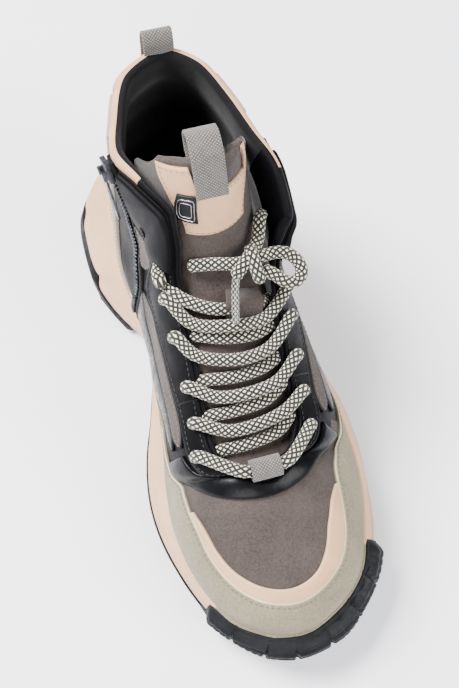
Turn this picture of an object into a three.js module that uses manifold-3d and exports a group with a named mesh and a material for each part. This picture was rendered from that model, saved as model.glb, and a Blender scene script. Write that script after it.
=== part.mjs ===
// High-top sport boot, left foot, with a side zip and rope lacing.
// Millimetres, X from heel to toe, Y to the outer (lateral) side, Z up from the floor.
import * as THREE from 'three';
import { mergeVertices } from 'three/addons/utils/BufferGeometryUtils.js';
import Module from 'manifold-3d';

const wasm = await Module();
wasm.setup();

// Driving dimensions of the boot
const LENGTH = 302;            // sole, back of the heel to the tip of the toe
const BALL_WIDTH = 114;        // sole across the ball of the foot
const INSTEP_HEIGHT = 84;      // floor to the ridge in front of the lacing
const COLLAR_HEIGHT = 150;     // floor to the collar at the back
const HEEL_CENTRE = 55;        // origin of the frame, in front of the back of the heel

// Thicknesses and clearances
const WALL = 2.4;              // upper with its lining
const PADDING = 6.4;           // padded collar
const FLAP_WALL = 3.4;         // padded flaps beside the tongue
const OVERLAY = 1.3;           // panels sewn on the upper
const GAP = 0.3;               // between neighbouring pieces
const LIP = 3.2;               // top edge of the midsole
const OUTSOLE = 7;             // rubber under the forefoot and the heel
const BUMPER = 4;              // rubber in front of the toe
const BUMPER_RIDGE = 1.3;      // depth of the notches between its blocks
const TREAD_DEPTH = 3;
const TREAD_WIDTH = 4;
const TREAD_PITCH = 19;
const ARCH_RISE = 15;          // sole bridge above the floor
const TOE_SPRING = 13;
const HEEL_BEVEL = 4;
const INSOLE = 3.5;
const LACE = 6.2;              // rope lace diameter
const LACE_SINK = 3.6;         // how far one lace presses into another where they cross
const TIP_DIAMETER = 3.8;      // sleeved end of the lace
const WEBBING = 15;            // width of the pull loops
const WEBBING_THICKNESS = 1.6;
const EYELET = 4.6;            // punched lace hole
const ZIP_TAPE = 9;            // width that shows
const ZIP_TEETH = 4.2;
const ZIP_TEETH_HEIGHT = 1.4;
const SLIDER_LENGTH = 11;
const SLIDER_WIDTH = 8;
const SLIDER_HEIGHT = 4;
const TAB_LENGTH = 26;
const TAB_WIDTH = 5;
const TAB_THICKNESS = 1.2;
const LABEL = 1;               // leather label on the tongue
const BADGE = 1.2;

// Facets for each row of a table along the surfaces, and up them
const ROW_STEPS = 1.5;
const HEIGHT_STEPS = 5;

function table(columns, rows) {
  return rows.map((row) => Object.fromEntries(columns.map((column, i) => [column, row[i]])));
}

// Upper, a row for each section from the toe round to the heel. Places along the boot are shares of
// LENGTH, distances to the outer and inner side shares of BALL_WIDTH, base heights shares of
// INSTEP_HEIGHT, and handles shares of COLLAR_HEIGHT. A top height is a share of INSTEP_HEIGHT up to 1,
// and from 1 to 2 it goes on to COLLAR_HEIGHT. The direction in which a section arrives at its top
// is forward, outTurn or inTurn, and up.
const UPPER = table(
  ['name', 'at', 'outBase', 'inBase', 'base', 'topAt', 'outTop', 'inTop', 'outHeight', 'inHeight',
    'forward', 'outTurn', 'inTurn', 'up', 'lean', 'lower', 'upper'],
  [
    ['toe', .974, .010, -.010, .345, .831, .000, .000, .857, .857, -.93, .00, .00, .36, .12, .17, .17],
    ['toe1', .954, .175, -.167, .345, .831, .000, .000, .857, .857, -.80, -.52, -.52, .30, .12, .17, .17],
    ['toe2', .907, .325, -.290, .345, .831, .000, .000, .857, .857, -.50, -.84, -.84, .18, .12, .17, .17],
    ['toe3', .838, .400, -.368, .345, .831, .000, .000, .857, .857, .00, -1.0, -1.0, .00, .10, .17, .19],
    ['ball', .765, .447, -.400, .345, .785, .000, .000, .930, .930, .00, -1.0, -1.0, .00, .08, .19, .19],
    ['vamp', .712, .460, -.395, .345, .742, .000, .000, 1.00, 1.00, .00, -1.0, -1.0, .05, .06, .20, .17],
    ['throat1', .666, .456, -.377, .357, .722, .123, -.149, 1.00, 1.00, .00, -.95, -.95, .30, .05, .20, .13],
    ['throat2', .613, .443, -.350, .370, .672, .193, -.193, 1.03, 1.03, .00, -.85, -.85, .50, .04, .23, .12],
    ['throat3', .546, .412, -.316, .390, .593, .200, -.184, 1.18, 1.18, .00, -.75, -.78, .62, .03, .25, .12],
    ['throat4', .474, .368, -.290, .430, .513, .220, -.175, 1.38, 1.38, .10, -.55, -.70, .70, .02, .28, .13],
    ['throat5', .414, .333, -.290, .450, .450, .254, -.175, 1.53, 1.59, .15, -.25, -.60, .78, .03, .29, .15],
    ['flap', .368, .316, -.298, .465, .417, .316, -.158, 1.65, 1.85, .15, .15, -.45, .88, .05, .31, .17],
    ['flaptop', .328, .307, -.307, .476, .394, .360, -.167, 1.74, 2.11, .15, .45, -.25, .95, .08, .31, .20],
    ['collar1', .282, .298, -.307, .488, .334, .350, -.254, 1.91, 2.14, .10, .40, -.05, 1.0, .10, .31, .24],
    ['collar2', .229, .290, -.307, .488, .268, .298, -.325, 1.98, 2.08, .05, .10, .05, 1.0, .10, .31, .24],
    ['collar3', .169, .268, -.290, .500, .189, .250, -.280, 1.96, 1.99, .00, -.05, .02, 1.0, .12, .29, .24],
    ['heel1', .113, .185, -.215, .500, .116, .158, -.198, 2.00, 2.00, .06, -.02, -.02, 1.0, .16, .28, .24],
    ['heel', .086, .000, .000, .500, .079, .000, .000, 2.01, 2.01, .10, .00, .00, 1.0, .20, .27, .24],
  ],
);

// Sole, a row for each pair of points of its outline, in shares of LENGTH and BALL_WIDTH. The height
// of its top edge is a share of INSTEP_HEIGHT.
const SOLE = table(
  ['name', 'at', 'out', 'in', 'rim'],
  [
    ['tip', 1.000, .010, .010, .40],
    ['toe1', .987, .175, -.120, .40],
    ['toe2', .950, .307, -.237, .40],
    ['toe3', .897, .425, -.342, .41],
    ['toe4', .828, .490, -.417, .42],
    ['ball1', .752, .518, -.465, .43],
    ['ball2', .679, .535, -.470, .44],
    ['waist1', .603, .518, -.430, .47],
    ['waist2', .530, .456, -.360, .50],
    ['arch1', .457, .412, -.307, .54],
    ['arch2', .391, .400, -.307, .57],
    ['heel1', .325, .400, -.386, .60],
    ['heel2', .258, .408, -.465, .64],
    ['heel3', .185, .412, -.482, .68],
    ['heel4', .113, .390, -.460, .71],
    ['heel5', .053, .316, -.360, .72],
    ['heel6', .013, .175, -.220, .72],
    ['back', .000, .000, .000, .72],
  ],
);

// Side of the midsole from its foot to its rim: level is a share of the height, reach goes from 0 on
// the outline to 1 at the rim, and push is a rib (+) or a groove (-) in millimetres
const SIDE = table(
  ['level', 'reach', 'push'],
  [
    [.00, .00, -1.2],
    [.12, .00, 0.0],
    [.34, .02, 0.6],
    [.41, .06, -1.2],
    [.50, .08, 0.4],
    [.68, .28, 1.0],
    [.76, .44, -0.8],
    [.84, .58, 0.8],
    [1.0, 1.0, 0.0],
  ],
);

// Tongue, a row for each section from the toe end up: the middle of its face along the boot and in
// height, then the half axes of the ellipse it lies on, how far round it goes in degrees and its
// thickness. Shares of LENGTH, of the heights as in UPPER, and of BALL_WIDTH.
const TONGUE = table(
  ['at', 'height', 'halfWidth', 'depth', 'wrap', 'thick'],
  [
    [.760, .905, .260, .12, 34, 2.5],
    [.722, .955, .260, .13, 40, 2.5],
    [.672, 1.02, .262, .15, 49, 3.0],
    [.593, 1.18, .262, .20, 53, 3.4],
    [.513, 1.38, .254, .26, 57, 3.8],
    [.459, 1.55, .246, .32, 60, 4.2],
    [.423, 1.77, .246, .38, 66, 4.5],
    [.408, 1.95, .240, .45, 72, 4.2],
    [.398, 2.12, .240, .49, 76, 4.2],
    [.384, 2.30, .245, .45, 62, 4.2],
    [.366, 2.47, .246, .36, 44, 4.2],
  ],
);

// Panels sewn on the upper. A station is a row number of UPPER, counted from the toe, with the inner
// side negative; a height goes from 0 at the sole to 1 at the top edge. Each row has the station and
// the height of the panel's lower and upper edge.
const SPAN = ['station', 'low', 'high'];
const MUDGUARD = table(SPAN, [
  [-8.6, .02, .06], [-8.0, .02, .11], [-7.0, .02, .20], [-5.8, .02, .33], [-4.7, .02, .40], [-4.1, .02, .435],
  [-3.5, .02, .465], [-2.4, .02, .48], [-1.2, .02, .485], [0, .02, .48], [1, .02, .48], [1.8, .02, .49],
  [2.7, .02, .515], [3.4, .02, .53], [4.0, .02, .54], [4.5, .02, .52], [5.1, .02, .45], [5.8, .02, .37],
  [6.5, .02, .29], [7.2, .02, .20], [8.0, .02, .10], [8.6, .02, .05],
]);
const TOE_TRIM = table(SPAN, [
  [-4.2, .42, .458], [-3.5, .44, .53], [-2.4, .46, .565], [-1.2, .46, .592], [0, .46, .596], [1, .46, .605],
  [1.8, .47, .64], [2.7, .49, .668], [3.5, .51, .63], [3.95, .52, .562],
]);
const EYESTAY_IN = table(SPAN, [
  [-5.35, .885, .985], [-6.0, .75, .985], [-7.0, .73, .985], [-7.6, .72, .985], [-8.3, .645, .985],
  [-9.0, .575, .985], [-9.7, .555, .985], [-10.4, .51, .985], [-10.9, .57, .985], [-11.2, .685, .985],
  [-11.7, .69, .985], [-12.55, .685, .985], [-13.2, .785, .985], [-13.55, .93, .985],
]);
const EYESTAY_OUT = table(SPAN, [
  [5.5, .905, .985], [6.1, .775, .985], [7.0, .73, .985], [7.6, .72, .985], [8.3, .645, .985],
  [9.0, .575, .985], [9.7, .555, .985], [10.4, .51, .985], [11.0, .57, .985], [11.7, .66, .985],
  [12.5, .685, .985], [13.2, .785, .985], [13.9, .93, .985],
]);
const STRIPE = table(SPAN, [
  [-6.85, .61, .65], [-7.1, .535, .69], [-7.5, .50, .70], [-8.2, .435, .63], [-9.0, .345, .55],
  [-9.6, .345, .525], [-10.2, .405, .48], [-10.55, .425, .44],
]);
const INSERT = table(SPAN, [
  [-6.7, .44, .47], [-7.1, .37, .515], [-7.65, .28, .465], [-8.2, .13, .41], [-9.0, .03, .32],
  [-9.6, .03, .32], [-10.2, .03, .38], [-10.7, .20, .40],
]);
const LEAF = table(SPAN, [
  [-12.7, .60, .655], [-12.3, .56, .64], [-12.0, .53, .635], [-11.6, .50, .635], [-11.25, .53, .64], [-11.05, .59, .62],
]);
const STRAP = table(['station', 'low', 'rear', 'high'], [
  [-10.9, .02, -11.3, .02], [-12.1, .088, -12.9, .02], [-13.3, .244, -13.9, .094], [-13.75, .456, -14.5, .256],
  [-14.2, .72, -15.0, .525], [-14.45, .87, -15.4, .77], [-14.6, .985, -15.6, .985],
]);
const QUARTER = table(SPAN, [
  [-14.05, .02, .085], [-14.5, .06, .22], [-15.05, .12, .50], [-15.5, .18, .74], [-16.0, .28, .71], [-16.5, .40, .69],
  [-17, .45, .68], [-17.5, .40, .69], [-18.0, .28, .71], [-18.5, .18, .74], [-18.95, .12, .50], [-19.5, .06, .22],
  [-19.95, .02, .085],
]);
const COUNTER = table(SPAN, [
  [-15.2, .02, .12], [-15.7, .02, .20], [-16.2, .02, .31], [-16.6, .02, .40], [-17, .02, .44], [-17.4, .02, .40],
  [-17.8, .02, .31], [-18.3, .02, .20], [-18.8, .02, .12],
]);
const COLLAR_BACK = table(SPAN, [
  [-15.72, .80, .985], [-16.2, .725, .985], [-17, .70, .985], [-17.8, .725, .985], [-18.28, .80, .985],
]);

// Glossy band round the front of the throat: distance from the toe in rows, and the side (- inner,
// + outer) as 1 minus the height, for its front edge and its rear edge
const BAND = table(['front', 'frontSide', 'rear', 'rearSide'], [
  [6.3, -.66, 6.6, -.37], [5.6, -.62, 6.1, -.31], [4.9, -.50, 5.5, -.24], [4.35, -.28, 4.85, -.14],
  [4.08, 0, 4.55, 0], [4.35, .22, 4.8, .13], [4.8, .36, 5.4, .22], [5.15, .48, 6.0, .29], [5.85, .56, 6.6, .34],
]);

// Lace holes, front to top: station and height, inner side then outer side
const EYELETS = table(['inStation', 'inHeight', 'outStation', 'outHeight'], [
  [-6.60, .82, 6.70, .87],
  [-7.40, .90, 7.50, .88],
  [-8.05, .90, 8.15, .86],
  [-8.95, .86, 8.85, .85],
  [-9.75, .86, 9.45, .85],
  [-10.5, .83, 10.4, .86],
]);
const TOP_HOLE = { station: -12.25, height: .74 };

// Zip, from the collar down to the sole
const ZIP = table(['station', 'height'], [
  [-13.95, .985], [-13.75, .906], [-13.4, .775], [-12.95, .656], [-12.5, .565], [-11.85, .475], [-11.15, .369],
  [-10.85, .231], [-10.75, .10],
]);

// Small sums on vectors [x, y, z]
const add = (a, b, scale = 1) => [a[0] + b[0] * scale, a[1] + b[1] * scale, a[2] + b[2] * scale];
const minus = (a, b) => add(a, b, -1);
const cross = (a, b) => [a[1] * b[2] - a[2] * b[1], a[2] * b[0] - a[0] * b[2], a[0] * b[1] - a[1] * b[0]];
const size = (a) => Math.hypot(a[0], a[1], a[2]);
const unit = (a) => add([0, 0, 0], a, 1 / Math.max(size(a), 1e-9));
const mix = (a, b, t) => a + (b - a) * t;
const clamp = (x) => Math.min(1, Math.max(0, x));
const ease = (x) => clamp(x) ** 2 * (3 - 2 * clamp(x));
const wrapIndex = (i, n) => ((i % n) + n) % n;
const range = (count) => Array.from({ length: count }, (_, i) => i);

function neighbours(values, at) {
  const i = Math.floor(at);
  const pick = [-1, 0, 1, 2].map((k) => values[wrapIndex(i + k, values.length)]);
  return { t: at - i, pick };
}

// Smooth curve through the rows of a closed table
function smooth(values, at) {
  const { t, pick } = neighbours(values, at);
  return pick[0].map((_, k) => {
    const [a, b, c, d] = pick.map((p) => p[k]);
    return 0.5 * (2 * b + (c - a) * t + (2 * a - 5 * b + 4 * c - d) * t ** 2 + (3 * b - a - 3 * c + d) * t ** 3);
  });
}

// Curve through the rows that never swings past them
function steady(values, at) {
  const { t, pick } = neighbours(values, at);
  const slope = (p, q) => (p * q > 0 ? (2 * p * q) / (p + q) : 0);
  return pick[0].map((_, k) => {
    const [a, b, c, d] = pick.map((p) => p[k]);
    const m = slope(b - a, c - b);
    const n = slope(c - b, d - c);
    const start = (2 * t ** 3 - 3 * t ** 2 + 1) * b + (t ** 3 - 2 * t ** 2 + t) * m;
    return start + (3 * t ** 2 - 2 * t ** 3) * c + (t ** 3 - t ** 2) * n;
  });
}

// Smooth curve through the rows of an open table, at a share of its length
function along(values, share) {
  const last = values.length - 1;
  const at = Math.min(clamp(share) * last, last - 1e-9);
  const ends = [values[0].map((v, k) => 2 * v - values[1][k])];
  const tail = [values[last].map((v, k) => 2 * v - values[last - 1][k])];
  return smooth([...ends, ...values, ...tail], at + 1);
}

const level = (share) => Math.min(share, 1) * INSTEP_HEIGHT
  + Math.max(share - 1, 0) * (COLLAR_HEIGHT - INSTEP_HEIGHT);

// Rows of the outer side followed by those of the inner side on the way back to the toe
const bothSides = (outer, inner) => [...outer, ...inner.slice(1, -1).reverse()];

const BASE_LINE = bothSides(
  UPPER.map((r) => [r.at * LENGTH, r.outBase * BALL_WIDTH, r.base * INSTEP_HEIGHT]),
  UPPER.map((r) => [r.at * LENGTH, r.inBase * BALL_WIDTH, r.base * INSTEP_HEIGHT]),
);
const TOP_LINE = bothSides(
  UPPER.map((r) => [r.topAt * LENGTH, r.outTop * BALL_WIDTH, level(r.outHeight)]),
  UPPER.map((r) => [r.topAt * LENGTH, r.inTop * BALL_WIDTH, level(r.inHeight)]),
);
const ARRIVAL = bothSides(
  UPPER.map((r) => [r.forward, r.outTurn, r.up]),
  UPPER.map((r) => [r.forward, -r.inTurn, r.up]),
);
const handleRows = UPPER.map((r) => [r.lean, r.lower * COLLAR_HEIGHT, r.upper * COLLAR_HEIGHT]);
const HANDLES = bothSides(handleRows, handleRows);
const STATIONS = BASE_LINE.length;

// Point of the upper's outer face
function face(station, height) {
  const u = wrapIndex(station, STATIONS);
  const base = smooth(BASE_LINE, u);
  const top = steady(TOP_LINE, u);
  const arrival = unit(smooth(ARRIVAL, u));
  const [lean, lower, upper] = smooth(HANDLES, u);
  const step = 0.01;
  const [dx, dy] = minus([...smooth(BASE_LINE, u + step), 0], [...smooth(BASE_LINE, u - step), 0]);
  const rise = unit(add([0, 0, 1], unit([dy, -dx, 0]), lean));
  const first = add(base, rise, lower);
  const second = add(top, arrival, -upper);
  const v = height;
  const weights = [(1 - v) ** 3, 3 * v * (1 - v) ** 2, 3 * v * v * (1 - v), v ** 3];
  return [base, first, second, top].reduce((sum, p, i) => add(sum, p, weights[i]), [0, 0, 0]);
}

// Outward normal of the upper's face
function normal(station, height) {
  const step = 0.02;
  const v = Math.min(height, 0.995);
  const along1 = minus(face(station + step, v), face(station - step, v));
  const up1 = minus(face(station, Math.min(v + step, 1)), face(station, Math.max(v - step, 0)));
  return unit(cross(along1, up1));
}

// Place on the upper by its distance from the toe in rows and its side, which crosses the ridge
const sidePlace = (row, side) => ({ station: side < 0 ? -row : row, height: 1 - Math.abs(side) });

// Triangles of an open strip of quads, closed round its stations
function grid(pointAt, columns, rows) {
  const points = [];
  const places = [];
  for (let j = 0; j <= rows; j += 1) {
    for (let i = 0; i < columns; i += 1) {
      points.push(pointAt(i, j));
      places.push([i, j]);
    }
  }
  const faces = [];
  for (let j = 0; j < rows; j += 1) {
    for (let i = 0; i < columns; i += 1) {
      const next = (i + 1) % columns;
      const [a, b, c, d] = [j * columns + i, j * columns + next, (j + 1) * columns + next, (j + 1) * columns + i];
      faces.push([a, b, c], [a, c, d]);
    }
  }
  return { points, places, faces };
}

const pointKey = (p) => p.map((c) => Math.round(c * 1000)).join(' ');

// Joins points that coincide and drops faces that close up
function weld(mesh) {
  const seen = new Map();
  const points = [];
  const places = [];
  const link = mesh.points.map((p, i) => {
    const key = pointKey(p);
    if (!seen.has(key)) {
      seen.set(key, points.length);
      points.push(p);
      places.push(mesh.places ? mesh.places[i] : null);
    }
    return seen.get(key);
  });
  const faces = mesh.faces.map((f) => f.map((i) => link[i]))
    .filter(([a, b, c]) => a !== b && b !== c && c !== a);
  return { points, places, faces };
}

function pointNormals({ points, faces }) {
  const sums = points.map(() => [0, 0, 0]);
  faces.forEach(([a, b, c]) => {
    const n = cross(minus(points[b], points[a]), minus(points[c], points[a]));
    [a, b, c].forEach((i) => { sums[i] = add(sums[i], n); });
  });
  return sums.map(unit);
}

// Normals of a skin, level along its foot
function skinNormals(skin) {
  return pointNormals(skin).map((n, i) => (skin.places[i][1] === 0 ? unit([n[0], n[1], 0]) : n));
}

// Closed solid from an open skin and a wall thickness at each of its points
function shell(open, wallAt) {
  const skin = weld(open);
  const normals = skinNormals(skin);
  const count = skin.points.length;
  const inner = skin.points.map((p, i) => add(p, normals[i], -wallAt(skin.places[i])));
  const edges = new Set(skin.faces.flatMap(([a, b, c]) => [`${a} ${b}`, `${b} ${c}`, `${c} ${a}`]));
  const faces = [...skin.faces, ...skin.faces.map(([a, b, c]) => [a + count, c + count, b + count])];
  edges.forEach((edge) => {
    const [a, b] = edge.split(' ').map(Number);
    if (!edges.has(`${b} ${a}`)) faces.push([b, a, a + count], [b, a + count, b + count]);
  });
  return toSolid({ points: [...skin.points, ...inner], faces });
}

// Solid of manifold-3d from points and faces
function toSolid({ points, faces }) {
  const welded = weld({ points, faces });
  const solid = new wasm.Manifold(new wasm.Mesh({
    numProp: 3,
    vertProperties: new Float32Array(welded.points.flat()),
    triVerts: new Uint32Array(welded.faces.flat()),
  }));
  return solid;
}

// Solid whose faces may all point in
function facingOut(points, faces) {
  const solid = toSolid({ points, faces });
  return solid.volume() > 0 ? solid : toSolid({ points, faces: faces.map(([a, b, c]) => [a, c, b]) });
}

// Solid from a three.js geometry
function fromGeometry(geometry, matrix = new THREE.Matrix4()) {
  const plain = geometry.clone().applyMatrix4(matrix);
  plain.deleteAttribute('normal');
  plain.deleteAttribute('uv');
  const merged = mergeVertices(plain, 1e-4);
  const solid = new wasm.Manifold(new wasm.Mesh({
    numProp: 3,
    vertProperties: new Float32Array(merged.attributes.position.array),
    triVerts: new Uint32Array(merged.index.array),
  }));
  return solid;
}

const join = (solids) => solids.reduce((a, b) => a.add(b));

// Main body of a solid whose cut left crumbs
const largest = (solid) => solid.decompose().sort((a, b) => b.volume() - a.volume())[0];

// Flat strips between the two sides of a closed ring of points close its lower or upper end
function ringCap(first, count, upward) {
  const faces = [];
  for (let i = 0; i < count / 2; i += 1) {
    const [a, b] = [first + i, first + i + 1];
    const [c, d] = [first + wrapIndex(count - i - 1, count), first + wrapIndex(count - i, count)];
    faces.push(...(upward ? [[a, b, c], [a, c, d]] : [[a, c, b], [a, d, c]]));
  }
  return faces;
}

const COLUMNS = STATIONS * ROW_STEPS;
const skinPoint = (i, j) => face(i / ROW_STEPS, j / HEIGHT_STEPS);
const UPPER_SKIN = grid(skinPoint, COLUMNS, HEIGHT_STEPS);

// The upper's outer form, closed at the floor and at the top, and moved outwards by an offset
function closedForm(offset) {
  const skin = weld(UPPER_SKIN);
  const normals = skinNormals(skin);
  const moved = new Map(skin.points.map((p, i) => [pointKey(p), add(p, normals[i], offset)]));
  const points = UPPER_SKIN.points.map((p) => [...moved.get(pointKey(p))]);
  for (let i = 0; i < COLUMNS; i += 1) points[i][2] -= offset;
  const faces = [
    ...UPPER_SKIN.faces,
    ...ringCap(0, COLUMNS, false),
    ...ringCap(COLUMNS * HEIGHT_STEPS, COLUMNS, true),
  ];
  return toSolid({ points, faces });
}

// Wall of the upper: padded round the collar, less in the flaps
function wallAt([i, j]) {
  const row = i / ROW_STEPS;
  const fromHeel = Math.abs(row - (UPPER.length - 1));
  const collar = ease((4.5 - fromHeel) / 1.5);
  const flap = ease((7.4 - fromHeel) / 1.2);
  const high = ease((j / HEIGHT_STEPS - 0.68) / 0.2);
  const extra = mix(mix(0, FLAP_WALL - WALL, flap), PADDING - WALL, collar);
  return WALL + extra * high;
}

// Closed block over a patch of the upper, from below the face to above it. The patch is given by a
// function of two shares, along and across, that gives a station and a height.
function patchBlock(place, steps, across, low, high) {
  const points = [];
  [low, high].forEach((lift) => {
    for (let j = 0; j <= across; j += 1) {
      for (let i = 0; i <= steps; i += 1) {
        const { station, height } = place(i / steps, j / across);
        points.push(add(face(station, height), normal(station, height), lift));
      }
    }
  });
  const width = steps + 1;
  const layer = width * (across + 1);
  const faces = [];
  const quad = (a, b, c, d) => faces.push([a, b, c], [a, c, d]);
  for (let j = 0; j < across; j += 1) {
    for (let i = 0; i < steps; i += 1) {
      const [a, b, c, d] = [j * width + i, j * width + i + 1, (j + 1) * width + i + 1, (j + 1) * width + i];
      quad(a, d, c, b);
      quad(a + layer, b + layer, c + layer, d + layer);
    }
  }
  for (let i = 0; i < steps; i += 1) {
    const last = across * width + i;
    quad(i, i + 1, i + 1 + layer, i + layer);
    quad(last + 1, last, last + layer, last + 1 + layer);
  }
  for (let j = 0; j < across; j += 1) {
    const [a, b] = [j * width, (j + 1) * width];
    quad(b, a, a + layer, b + layer);
    quad(a + steps, b + steps, b + steps + layer, a + steps + layer);
  }
  return facingOut(points, faces);
}

const CUT_BELOW = -3;
const CUT_ABOVE = 5;

// Cutter of a panel whose edges share their stations
function spanCutter(rows, steps, across = 2, mirror = 1) {
  const lines = rows.map((r) => [r.station, r.low, r.high]);
  return patchBlock((s, t) => {
    const [station, low, high] = along(lines, s);
    return { station: station * mirror, height: mix(low, high, t) };
  }, steps, across, CUT_BELOW, CUT_ABOVE);
}

// Cutter of the strap, whose front and rear edges run at different stations
function strapCutter(mirror = 1) {
  const lines = STRAP.map((r) => [r.station, r.low, r.rear, r.high]);
  return patchBlock((s, t) => {
    const [station, low, rear, high] = along(lines, s);
    return { station: mix(station, rear, t) * mirror, height: mix(low, high, t) };
  }, 6, 1, CUT_BELOW, CUT_ABOVE);
}

function bandCutter() {
  const lines = BAND.map((r) => [r.front, r.frontSide, r.rear, r.rearSide]);
  return patchBlock((s, t) => {
    const [front, frontSide, rear, rearSide] = along(lines, s);
    return sidePlace(mix(front, rear, t), mix(frontSide, rearSide, t));
  }, 12, 2, CUT_BELOW, CUT_ABOVE);
}

// Middle line of the zip on the face, at a share of its length
const zipPlace = (share) => along(ZIP.map((r) => [r.station, r.height]), share);

// Closed bar that follows the zip: half its width, and its lower and upper faces over the upper
function zipBar(halfWidth, low, high, from = 0, to = 1, steps = 9) {
  const points = [];
  for (let i = 0; i <= steps; i += 1) {
    const share = mix(from, to, i / steps);
    const [station, height] = zipPlace(share);
    const ahead = face(...zipPlace(Math.min(share + 0.01, 1)));
    const behind = face(...zipPlace(Math.max(share - 0.01, 0)));
    const out = normal(station, height);
    const side = unit(cross(out, minus(ahead, behind)));
    const middle = face(station, height);
    [[-1, low], [1, low], [1, high], [-1, high]].forEach(([s, lift]) => {
      points.push(add(add(middle, side, s * halfWidth), out, lift));
    });
  }
  return sweptSolid(points, 4);
}

// Closed solid through rings of equal count. Strips across each end ring close it, which suits a
// round section and a folded one.
function sweptSolid(points, count) {
  const rings = points.length / count;
  const faces = [];
  for (let r = 0; r < rings - 1; r += 1) {
    for (let k = 0; k < count; k += 1) {
      const [a, b] = [r * count + k, r * count + ((k + 1) % count)];
      faces.push([a, b, b + count], [a, b + count, a + count]);
    }
  }
  const last = points.length - count;
  for (let k = 0; k < count / 2 - 1; k += 1) {
    const [a, b, c, d] = [k, k + 1, count - 2 - k, count - 1 - k];
    faces.push([a, c, b], [a, d, c]);
    faces.push([last + a, last + b, last + c], [last + a, last + c, last + d]);
  }
  return facingOut(points, faces);
}

const polygon = (radius, sides) => range(sides).map((k) => {
  const angle = (2 * Math.PI * k) / sides;
  return new THREE.Vector2(Math.cos(angle), Math.sin(angle)).multiplyScalar(radius);
});

// Round rope along a curve through its stops
function rope(stops, diameter, steps, sides = 8) {
  const extrudePath = new THREE.CatmullRomCurve3(stops.map((p) => new THREE.Vector3(...p)), false, 'centripetal');
  const section = new THREE.Shape(polygon(diameter / 2, sides));
  return fromGeometry(new THREE.ExtrudeGeometry(section, { steps, extrudePath, bevelEnabled: false }));
}

// Underside of the sole: flat under heel and ball, with the arch and the toe spring
function ground(x) {
  const toe = clamp((x / LENGTH - 0.865) / 0.135) ** 1.6 * TOE_SPRING;
  const heel = clamp((0.07 - x / LENGTH) / 0.07) ** 1.5 * HEEL_BEVEL;
  const arch = ease((x / LENGTH - 0.33) / 0.10) * ease((0.575 - x / LENGTH) / 0.09) * ARCH_RISE;
  return toe + heel + arch;
}

const SOLE_LINE = bothSides(
  SOLE.map((r) => [r.at * LENGTH, r.out * BALL_WIDTH, r.rim * INSTEP_HEIGHT]),
  SOLE.map((r) => [r.at * LENGTH, r.in * BALL_WIDTH, r.rim * INSTEP_HEIGHT]),
);

// Outward direction of the sole's outline in plan
function outlineNormal(row) {
  const [dx, dy] = minus(smooth(SOLE_LINE, row + 0.05), smooth(SOLE_LINE, row - 0.05));
  return unit([dy, -dx, 0]);
}

// Height on a section of the upper where it passes a level
function heightAtLevel(station, z) {
  let [low, high] = [0, 0.8];
  for (let k = 0; k < 14; k += 1) {
    const middle = (low + high) / 2;
    if (face(station, middle)[2] < z) low = middle; else high = middle;
  }
  return (low + high) / 2;
}

// Point of the midsole's top edge beside the upper, nearest to a row of the outline
function rimPoint(row) {
  const [x, y, z] = smooth(SOLE_LINE, row);
  let best = null;
  for (let k = -24; k <= 24; k += 1) {
    const station = row + k * 0.2;
    const height = heightAtLevel(station, z);
    const p = add(face(station, height), normal(station, height), LIP);
    const far = Math.hypot(p[0] - x, p[1] - y);
    if (!best || far < best.far) best = { far, p };
  }
  return [best.p[0], best.p[1], z];
}

const SOLE_COLUMNS = SOLE_LINE.length * ROW_STEPS;
const RIM_LINE = range(SOLE_COLUMNS).map((i) => rimPoint(i / ROW_STEPS));

// Side of the sole at a row of its outline and a level from 0 at its foot to 1 at the rim
function sidePoint(row, levelShare, foot, push = 0) {
  const [x, y] = smooth(SOLE_LINE, row);
  const out = outlineNormal(row);
  const rim = smooth(RIM_LINE, wrapIndex(row * ROW_STEPS, SOLE_COLUMNS));
  const lines = SIDE.map((r) => [r.level, r.reach, r.push]);
  const next = Math.max(1, lines.findIndex((l) => l[0] >= levelShare - 1e-9));
  const t = (levelShare - lines[next - 1][0]) / (lines[next][0] - lines[next - 1][0]);
  const [, reach, ribs] = lines[next].map((v, k) => mix(lines[next - 1][k], v, t));
  const p = [mix(x, rim[0], reach), mix(y, rim[1], reach), mix(foot + ground(x), rim[2], levelShare)];
  return add(p, out, ribs + push);
}

// Midsole before its hollow is cut
function midsoleForm(grow) {
  const levels = SIDE.map((r) => r.level);
  const raw = grid((i, j) => {
    const p = sidePoint(i / ROW_STEPS, levels[j], OUTSOLE + GAP, grow);
    return j === levels.length - 1 ? add(p, [0, 0, 1], grow) : p;
  }, SOLE_COLUMNS, levels.length - 1);
  const faces = [...raw.faces, ...ringCap(0, SOLE_COLUMNS, false),
    ...ringCap(SOLE_COLUMNS * (levels.length - 1), SOLE_COLUMNS, true)];
  return toSolid({ points: raw.points, faces });
}

// Layer of rubber under the whole sole, a little proud of the midsole at the toe
function outsoleForm() {
  const layers = [[0, -3.5], [TREAD_DEPTH * 0.6, -0.6], [OUTSOLE * 0.6, 0.6], [OUTSOLE, -0.4]];
  const raw = grid((i, j) => {
    const row = i / ROW_STEPS;
    const [x, y] = smooth(SOLE_LINE, row);
    const toe = bumperShare(row) * (BUMPER - 1);
    const [lift, push] = layers[j];
    return add([x, y, lift + ground(x)], outlineNormal(row), push + toe);
  }, SOLE_COLUMNS, layers.length - 1);
  const faces = [...raw.faces, ...ringCap(0, SOLE_COLUMNS, false),
    ...ringCap(SOLE_COLUMNS * (layers.length - 1), SOLE_COLUMNS, true)];
  return toSolid({ points: raw.points, faces });
}

const RIB = 1.2;               // more than the largest rib in SIDE

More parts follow.
